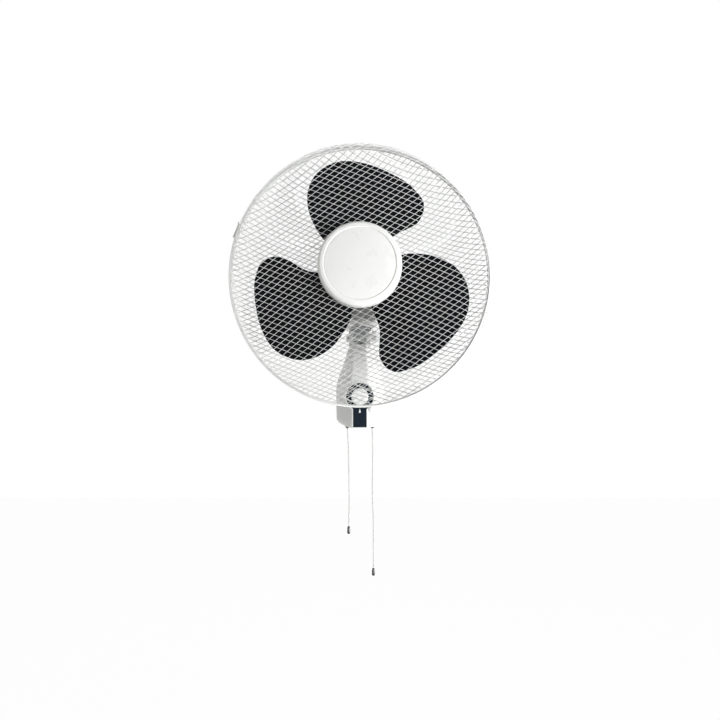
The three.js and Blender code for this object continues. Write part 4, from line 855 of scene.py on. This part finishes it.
rear_outer = cover_skin([
    (0.5, SPLIT_Y, 0), (0, SPLIT_Y + 0.8, 0), (0, 22, 30), (2.5, 34, 14), (7, 43, 10), (14, 49.5, 8),
    (22, COVER_BACK_Y, 4), (30, COVER_BACK_Y, 0),
])
rear_inner = cover_skin([
    (2.2, SPLIT_Y - 5, 0), (2.2, 20, 10), (4.7, 32, 10), (9.2, 40.8, 8), (16.2, 47.3, 6), (24, 49.8, 0),
])
slots = []
for i in range(SLOTS):
    half = 22 if i in (0, SLOTS - 1) else 28
    z = (i - SLOTS // 2) * SLOT_SPACING
    slots.append(box((-half, 36, z - SLOT_HALF_HEIGHT), (half, COVER_BACK_Y + 5, z + SLOT_HALF_HEIGHT), 1.95))
post_way = bar(POST_WAY_R, -CHIN_DROP - 5, -45, 64, lathe_z)
rear_cover = shaped("rear_cover", rear_outer, cut=[rear_inner, post_way, *slots])
piece("motor_rear_shell", at_head(rear_cover), "head", "white_plastic", ["motor_rear_cover"])

nut_back = rear_plate_y - GAP
nut_ring = lathe(rounded([
    (NOSE_R + GAP, NUT_FRONT, 0.3), (NUT_R, NUT_FRONT, 0.8), (NUT_R, nut_back - 3, 1.2),
    (NUT_FLANGE_R, nut_back - 3, 0.8), (NUT_FLANGE_R, nut_back, 0.3), (NOSE_R + GAP, nut_back, 0.2),
], 4, closed=True), 96)
grip = box((20, NUT_FRONT + 0.5, -1.3), (NUT_FLANGE_R, nut_back - 2, 1.3), 0.6)
guard_nut = merged(nut_ring, *[turned_about(grip, "Y", 90 * i) for i in range(4)])
piece("guard_nut_grips", at_head(guard_nut), "head", "black_plastic", ["guard_nut"])

# ---------------------------------------------------------------- neck and control housing

HOUSING_FRONT_Y = -160
HOUSING_HALF = 45.3
NECK_HALF, NECK_TOP_Z = 20, 98
CHEEK_INNER, CHEEK_R, CHEEK_FOOT_Z = 12, 13.5, -17
PANEL_CENTRE_Z, RING_R, DIAL_R = 2.6, 24.8, 15.6
STEM_HALF, STEM_FILLET, PANEL_BOTTOM_Z = 12.2, 3.5, -53.2
FILLET_STEPS, RING_STEPS = 8, 64
BORDER = 2.6
PANEL_FRONT = HOUSING_FRONT_Y - 1.6
SIDE_BULGE_IN, SIDE_BULGE_BACK = 0.35, 0.62
HOLLOW_WIDTH, HOLLOW_DEPTH = 0.93, 0.985
HOLLOW_FRONT_Y, HOLLOW_SPLIT_Y, HOLLOW_BACK_Y = -157, -60, 5
HOLLOW_FLOOR_Z, HOLLOW_TOP_Z = -50, 52
BELOW_BOX_Z = -62
BOLT_R, BOLT_END = 4, 29
SPINDLE_R, SPINDLE_END, SPINDLE_WAY_R = 3, -146, 6
WIRE_WAY_R = 6
GLAND_Y, GLAND_WAY_R = -34, 6.3
BACK_BOSS_R, BACK_BOSS_FRONT, BACK_BOSS_BACK = 5.5, -60, -8.6
BACK_SCREWS = [(-37.4, -28), (37.4, -28), (-34.6, 34), (34.6, 34)]
CREST_HALF = STEM_HALF + BORDER

# Height, half width, half width of the flat front, and the depths of the front, of the sides and of the back.
LEVELS = [
    (-54, 16, 14, -157, -150, -20), (-52.4, 23, CREST_HALF, -158.8, -139, -12),
    (-49, 30.8, CREST_HALF, -159.6, -124, -6), (-43, 40, CREST_HALF, -160, -114, -4.5),
    (-36, HOUSING_HALF - 0.8, CREST_HALF, -160, -110, -4.5), (18, HOUSING_HALF, CREST_HALF, -160, -109, -4.5),
    (44, 40, 14.4, -160, -115, -4.5), (58, 33.5, 13, -160, -122, -5.5), (66, 30.5, 12.5, -160, -128, -22),
    (76, 26.8, 12, -160, -134, -70), (86, 23.4, 12, -159.5, -141, -105),
    (NECK_TOP_Z, NECK_HALF, 12, -158, -146, -121),
]
RING_HEIGHTS = [-54, -53.6, -53, *np.linspace(-52.4, -36, 15), *np.linspace(-33, 20, 10),
                *np.linspace(24, NECK_TOP_Z, 34)]


def level_at(z):
    """The housing's section sizes at a height, eased from level to level above the lowest step."""
    heights = [level[0] for level in LEVELS]
    i = int(np.clip(np.searchsorted(heights, z) - 1, 0, len(LEVELS) - 2))

    def slope(k, column):
        if k <= 0 or k >= len(LEVELS) - 1:
            return 0.0
        a = (LEVELS[k][column] - LEVELS[k - 1][column]) / (heights[k] - heights[k - 1])
        b = (LEVELS[k + 1][column] - LEVELS[k][column]) / (heights[k + 1] - heights[k])
        return 0.0 if a * b <= 0 else 2 * a * b / (a + b)

    span = heights[i + 1] - heights[i]
    t = (z - heights[i]) / span
    result = []
    for column in range(1, 6):
        p, q = LEVELS[i][column], LEVELS[i + 1][column]
        if i == 0:
            result.append(p + (q - p) * t)
            continue
        a, b = slope(i, column) * span, slope(i + 1, column) * span
        result.append(p * (2 * t ** 3 - 3 * t ** 2 + 1) + a * (t ** 3 - 2 * t ** 2 + t)
                      + q * (3 * t ** 2 - 2 * t ** 3) + b * (t ** 3 - t ** 2))
    return result


def housing_ring(z):
    """The housing's section at a height, seen from above."""
    half, crest, front, side, back = level_at(z)
    corner = min(6.0, (back - side) / 4)
    bulge = (half - (half - crest) * SIDE_BULGE_IN, front + (side - front) * SIDE_BULGE_BACK, 30)
    line = rounded([(0, front, 0), (crest, front, 2.5), bulge, (half, side, 9), (half, back, corner),
                    (0, back, 0)], 6)
    left = [(-x, y) for x, y in reversed(line[1:-1])]
    return [(x, y, z) for x, y in [*line, *left]]


def hollow_ring(z):
    """The inside of the housing at a height, which is open at the back."""
    ring = []
    for x, y, _ in housing_ring(z):
        depth = max(y * HOLLOW_DEPTH, HOLLOW_FRONT_Y) if y < HOLLOW_SPLIT_Y else HOLLOW_BACK_Y
        ring.append((x * HOLLOW_WIDTH, depth, z))
    return ring


def keyhole(grow, bottom):
    """Outline of the panel, a round head on a stem, grown by a margin."""
    radius, half = RING_R + grow, STEM_HALF + grow
    fillet = STEM_FILLET - grow * 0.5
    drop = math.sqrt((radius + fillet) ** 2 - (half + fillet) ** 2)
    fillet_z = PANEL_CENTRE_Z - drop
    lean = math.degrees(math.atan2(drop, half + fillet))
    return [(-half, bottom), (half, bottom),
            *arc(half + fillet, fillet_z, fillet, 180, -lean, FILLET_STEPS),
            *arc(0, PANEL_CENTRE_Z, radius, -lean, 180 + 2 * lean, RING_STEPS),
            *arc(-half - fillet, fillet_z, fillet, lean, -lean, FILLET_STEPS)]


def cheek(low, high):
    """One of the two lugs that carry the tilt bolt, from low to high across."""
    lug = [(-CHEEK_R, CHEEK_FOOT_Z), (CHEEK_R, CHEEK_FOOT_Z), *arc(0, 0, CHEEK_R, 0, 180, 30)]
    points, faces = slab(lug, low, high, 0.8)
    return at_tilt(([(y, x, z) for x, y, z in points], faces))


cord_exits = (-CORD_EXIT_X, CORD_EXIT_X)
housing = skin([housing_ring(float(z)) for z in RING_HEIGHTS])
boss = slab(keyhole(BORDER, -52), PANEL_FRONT, HOUSING_FRONT_Y + 22, 0.9, 4, front_only=True)
pocket = skin([[(x, y, z) for x, z in keyhole(GAP, BELOW_BOX_Z)]
               for y in (HOUSING_FRONT_Y - 8, PANEL_FRONT + 2)])
spindle_way = moved(bar(SPINDLE_WAY_R, HOUSING_FRONT_Y - 10, HOUSING_FRONT_Y + 10, 48), z=PANEL_CENTRE_Z)
cheeks = [cheek(-NECK_HALF, -CHEEK_INNER), cheek(CHEEK_INNER, NECK_HALF)]
bolt_way = at_tilt(bar(BOLT_R + GAP, -40, 40, 40, lathe_x))
wire_way = moved(bar(WIRE_WAY_R, NECK_TOP_Z - 12, NECK_TOP_Z + 1, 32, lathe_z), y=PIVOT_Y + 2)
eyelet_way = lathe_z([(0, BELOW_BOX_Z), (3.7, BELOW_BOX_Z), (3.7, -52), (2.9, -52), (2.9, -38), (0, -38)], 32)
eyelet_ways = [moved(eyelet_way, x=x, y=CORD_Y) for x in cord_exits]
gland_way = moved(bar(GLAND_WAY_R, BELOW_BOX_Z, -40, 40, lathe_z), y=GLAND_Y)
exit_pad = lathe_z(rounded([(0, -52, 0), (4.6, -52, 0.5), (4.6, -46, 0), (0, -46, 0)], 3), 40)
exit_pads = [moved(exit_pad, x=x, y=CORD_Y) for x in cord_exits]
hollow = skin([hollow_ring(float(z)) for z in np.linspace(HOLLOW_FLOOR_Z, HOLLOW_TOP_Z, 16)])
back_boss = bar(BACK_BOSS_R, BACK_BOSS_FRONT, BACK_BOSS_BACK, 40)
back_bosses = [moved(back_boss, x=x, z=z) for x, z in BACK_SCREWS]
shell = shaped("housing_hollow", housing, joined=[boss], cut=[hollow])
shell = shaped("housing", shell, joined=[*cheeks, *exit_pads, *back_bosses],
               cut=[pocket, spindle_way, bolt_way, wire_way, gland_way, *eyelet_ways])
piece("neck_and_box", shell, "wall", "white_plastic", ["neck_housing"], angle=28)

# The nose of the gland is kept short, so that it stays behind the edge of the box as in the photo.
gland = rounded([
    (3.6, -53.7, 0.3), (5.2, -53.7, 0.5), (5.8, -53.2, 0.2), (5.8, HOLLOW_FLOOR_Z, 0),
    (8.5, HOLLOW_FLOOR_Z, 0.2), (8.5, HOLLOW_FLOOR_Z + 2.2, 0.5), (5.4, HOLLOW_FLOOR_Z + 2.2, 0.2),
    (5.4, -42, 0.4), (3.6, -42, 0.4),
], 3, closed=True)
piece("gland_collar", moved(lathe_z(gland, 48), y=GLAND_Y), "wall", "black_plastic", ["cable_gland"])

# ---------------------------------------------------------------- keyhole panel, dial and mark

MARK_TIP_Z, MARK_BALL_Z, MARK_BALL_R, MARK_STEPS = -18.3, -25.2, 1.9, 24
MARK_GAP = 0.15
SILL_HEIGHT, SILL_LEAN = 4.8, 15


def drop_outline(grow):
    """Outline of the drop-shaped mark, grown by a margin."""
    tip, ball = MARK_TIP_Z + grow, MARK_BALL_R + grow
    lean = math.degrees(math.acos(ball / (tip - MARK_BALL_Z)))
    return [(0, tip), *arc(0, MARK_BALL_Z, ball, 90 + lean, 360 - 2 * lean, MARK_STEPS)]


dial_well = moved(bar(DIAL_R + GAP, PANEL_FRONT - 5, PANEL_FRONT + 1, 96), z=PANEL_CENTRE_Z)
spindle_hole = moved(bar(SPINDLE_R + GAP, PANEL_FRONT - 5, PANEL_FRONT + 5, 32), z=PANEL_CENTRE_Z)
mark_well = skin([[(x, y, z) for x, z in drop_outline(MARK_GAP)]
                  for y in (PANEL_FRONT - 5, PANEL_FRONT + 0.7)])
sill_z = PANEL_BOTTOM_Z + SILL_HEIGHT
sill = turned_about(box((-20, PANEL_FRONT - 4, PANEL_BOTTOM_Z - 4), (20, PANEL_FRONT, sill_z), 0.1),
                    "X", SILL_LEAN, (0, PANEL_FRONT, sill_z))
panel = shaped("panel", slab(keyhole(0, PANEL_BOTTOM_Z), PANEL_FRONT, PANEL_FRONT + 1.7, 0.45, 3),
               cut=[dial_well, spindle_hole, mark_well, sill])
piece("panel_face", panel, "wall", "panel_plastic", ["keyhole_panel"])
mark = slab(drop_outline(-MARK_GAP), PANEL_FRONT - 0.1, PANEL_FRONT + 0.4, 0.12)
piece("drop_mark", mark, "wall", "white_plastic", ["panel_mark"])

dial = moved(lathe(rounded([
    (0, PANEL_FRONT - 1.4, 0), (11.5, PANEL_FRONT - 1.3, 20), (14.6, PANEL_FRONT - 0.7, 2),
    (DIAL_R, PANEL_FRONT + 0.3, 0.4), (DIAL_R, PANEL_FRONT + 0.7, 0.1), (SPINDLE_R, PANEL_FRONT + 0.7, 0),
    (SPINDLE_R, SPINDLE_END, 0.2), (0, SPINDLE_END, 0),
], 5), 96), z=PANEL_CENTRE_Z)
piece("dial_disc", dial, "dial", "white_plastic", ["speed_dial"])

# ---------------------------------------------------------------- tilt joint

knob_start = NECK_HALF + GAP
knob = lathe_x(rounded([
    (BOLT_R + GAP, knob_start, 0.2), (7, knob_start, 0.6), (8, knob_start + 2, 1), (8, knob_start + 10, 2),
    (6.5, knob_start + 12, 1.2), (0, knob_start + 12, 0), (0, BOLT_END + GAP, 0),
    (BOLT_R + GAP, BOLT_END + GAP, 0),
], 4), 56)
wing = box((knob_start + 1.5, -1.8, 0), (knob_start + 10.5, 1.8, 13), 1.2)
knob = merged(knob, *[turned_about(wing, "X", 120 * i) for i in range(3)])
piece("tilt_knob_wings", at_tilt(knob), "knob", "white_plastic", ["tilt_knob"])

bolt = lathe_x(rounded([
    (0, -25, 0), (6.3, -25, 1), (7.5, -24, 0.6), (7.5, -knob_start, 0.2), (BOLT_R, -knob_start, 0),
    (BOLT_R, BOLT_END, 0.4), (0, BOLT_END, 0),
], 3), 48)
piece("tilt_bolt_bar", at_tilt(bolt), "wall", "steel", ["tilt_bolt"])

# ---------------------------------------------------------------- kept nodes

# The nodes that no piece replaces are shown as packed, with a material of this scene.
for row in frame["record"]["subparts"]:
    node = frame["nodes"][row["node"]]
    if not node.hide_render:
        node.data.materials.clear()
        node.data.materials.append(MATERIALS[row["material_slot"]])

# ---------------------------------------------------------------- floor, world and lamps


def white_to_camera(tree, lit, white, share):
    """Shows the white output to camera, glossy and transmission rays, and the lit one to all others."""
    path = tree.nodes.new("ShaderNodeLightPath")
    factor = path.outputs["Is Camera Ray"]
    for other in ("Is Glossy Ray", "Is Transmission Ray"):
        largest = tree.nodes.new("ShaderNodeMath")
        largest.operation = "MAXIMUM"
        tree.links.new(factor, largest.inputs[0])
        tree.links.new(path.outputs[other], largest.inputs[1])
        factor = largest.outputs[0]
    scaled = tree.nodes.new("ShaderNodeMath")
    scaled.operation = "MULTIPLY"
    scaled.inputs[1].default_value = share
    tree.links.new(factor, scaled.inputs[0])
    mix = tree.nodes.new("ShaderNodeMixShader")
    tree.links.new(scaled.outputs[0], mix.inputs[0])
    tree.links.new(lit, mix.inputs[1])
    tree.links.new(white, mix.inputs[2])
    return mix.outputs[0]


WORLD_COLOUR, WORLD_STRENGTH = (1.0, 1.0, 0.975, 1), 0.34

world = bpy.data.worlds.new("studio")
scene.world = world
world.use_nodes = True
world_tree = world.node_tree
lit = filled(world_tree.nodes["Background"], {"Color": WORLD_COLOUR, "Strength": WORLD_STRENGTH})
seen = filled(world_tree.nodes.new("ShaderNodeBackground"), {"Color": (1, 1, 1, 1), "Strength": 1.0})
world_surface = white_to_camera(world_tree, lit.outputs[0], seen.outputs[0], 1.0)
world_tree.links.new(world_surface, world_tree.nodes["World Output"].inputs["Surface"])


def lamp(name, place, target, size, energy, colour=(1, 1, 1)):
    """A round soft lamp. Places and sizes are in metres, energy in watts."""
    data = bpy.data.lights.new(name, "AREA")
    data.shape = "DISK"
    data.size = size
    data.energy = energy
    data.color = colour
    obj = bpy.data.objects.new(name, data)
    obj.location = place
    obj.rotation_euler = (Vector(target) - Vector(place)).to_track_quat("-Z", "Y").to_euler()
    scene.collection.objects.link(obj)


lamp("key", (2.3, -1.7, -0.45), (0, -0.2, 0.1), 1.2, 90, (0.98, 0.99, 1))
lamp("fill", (-2.0, -1.8, 0.6), (0, -0.2, 0.1), 2.0, 6, (1, 0.99, 0.95))
lamp("back_lift", (0.4, 2.2, 1.4), (0, -0.1, 0.1), 1.6, 14)

FLOOR_Z, FLOOR_HALF = -1.2, 8
FLOOR_COLOUR, FLOOR_WHITE = (0.93, 0.93, 0.93, 1), 0.975
floor_corners = [(x * FLOOR_HALF, y * FLOOR_HALF, FLOOR_Z) for x, y in ((-1, -1), (1, -1), (1, 1), (-1, 1))]
floor_mesh = bpy.data.meshes.new("floor")
floor_mesh.from_pydata(floor_corners, [], [(0, 1, 2, 3)])
floor = bpy.data.objects.new("floor", floor_mesh)
scene.collection.objects.link(floor)
floor_material, floor_tree, floor_shader = new_material("floor")
filled(floor_shader, {"Base Color": FLOOR_COLOUR, "Roughness": 0.9})
floor_white = filled(floor_tree.nodes.new("ShaderNodeEmission"), {"Color": (1, 1, 1, 1)})
floor_surface = white_to_camera(floor_tree, floor_shader.outputs[0], floor_white.outputs[0], FLOOR_WHITE)
floor_tree.links.new(floor_surface, floor_tree.nodes["Material Output"].inputs["Surface"])
floor_mesh.materials.append(floor_material)
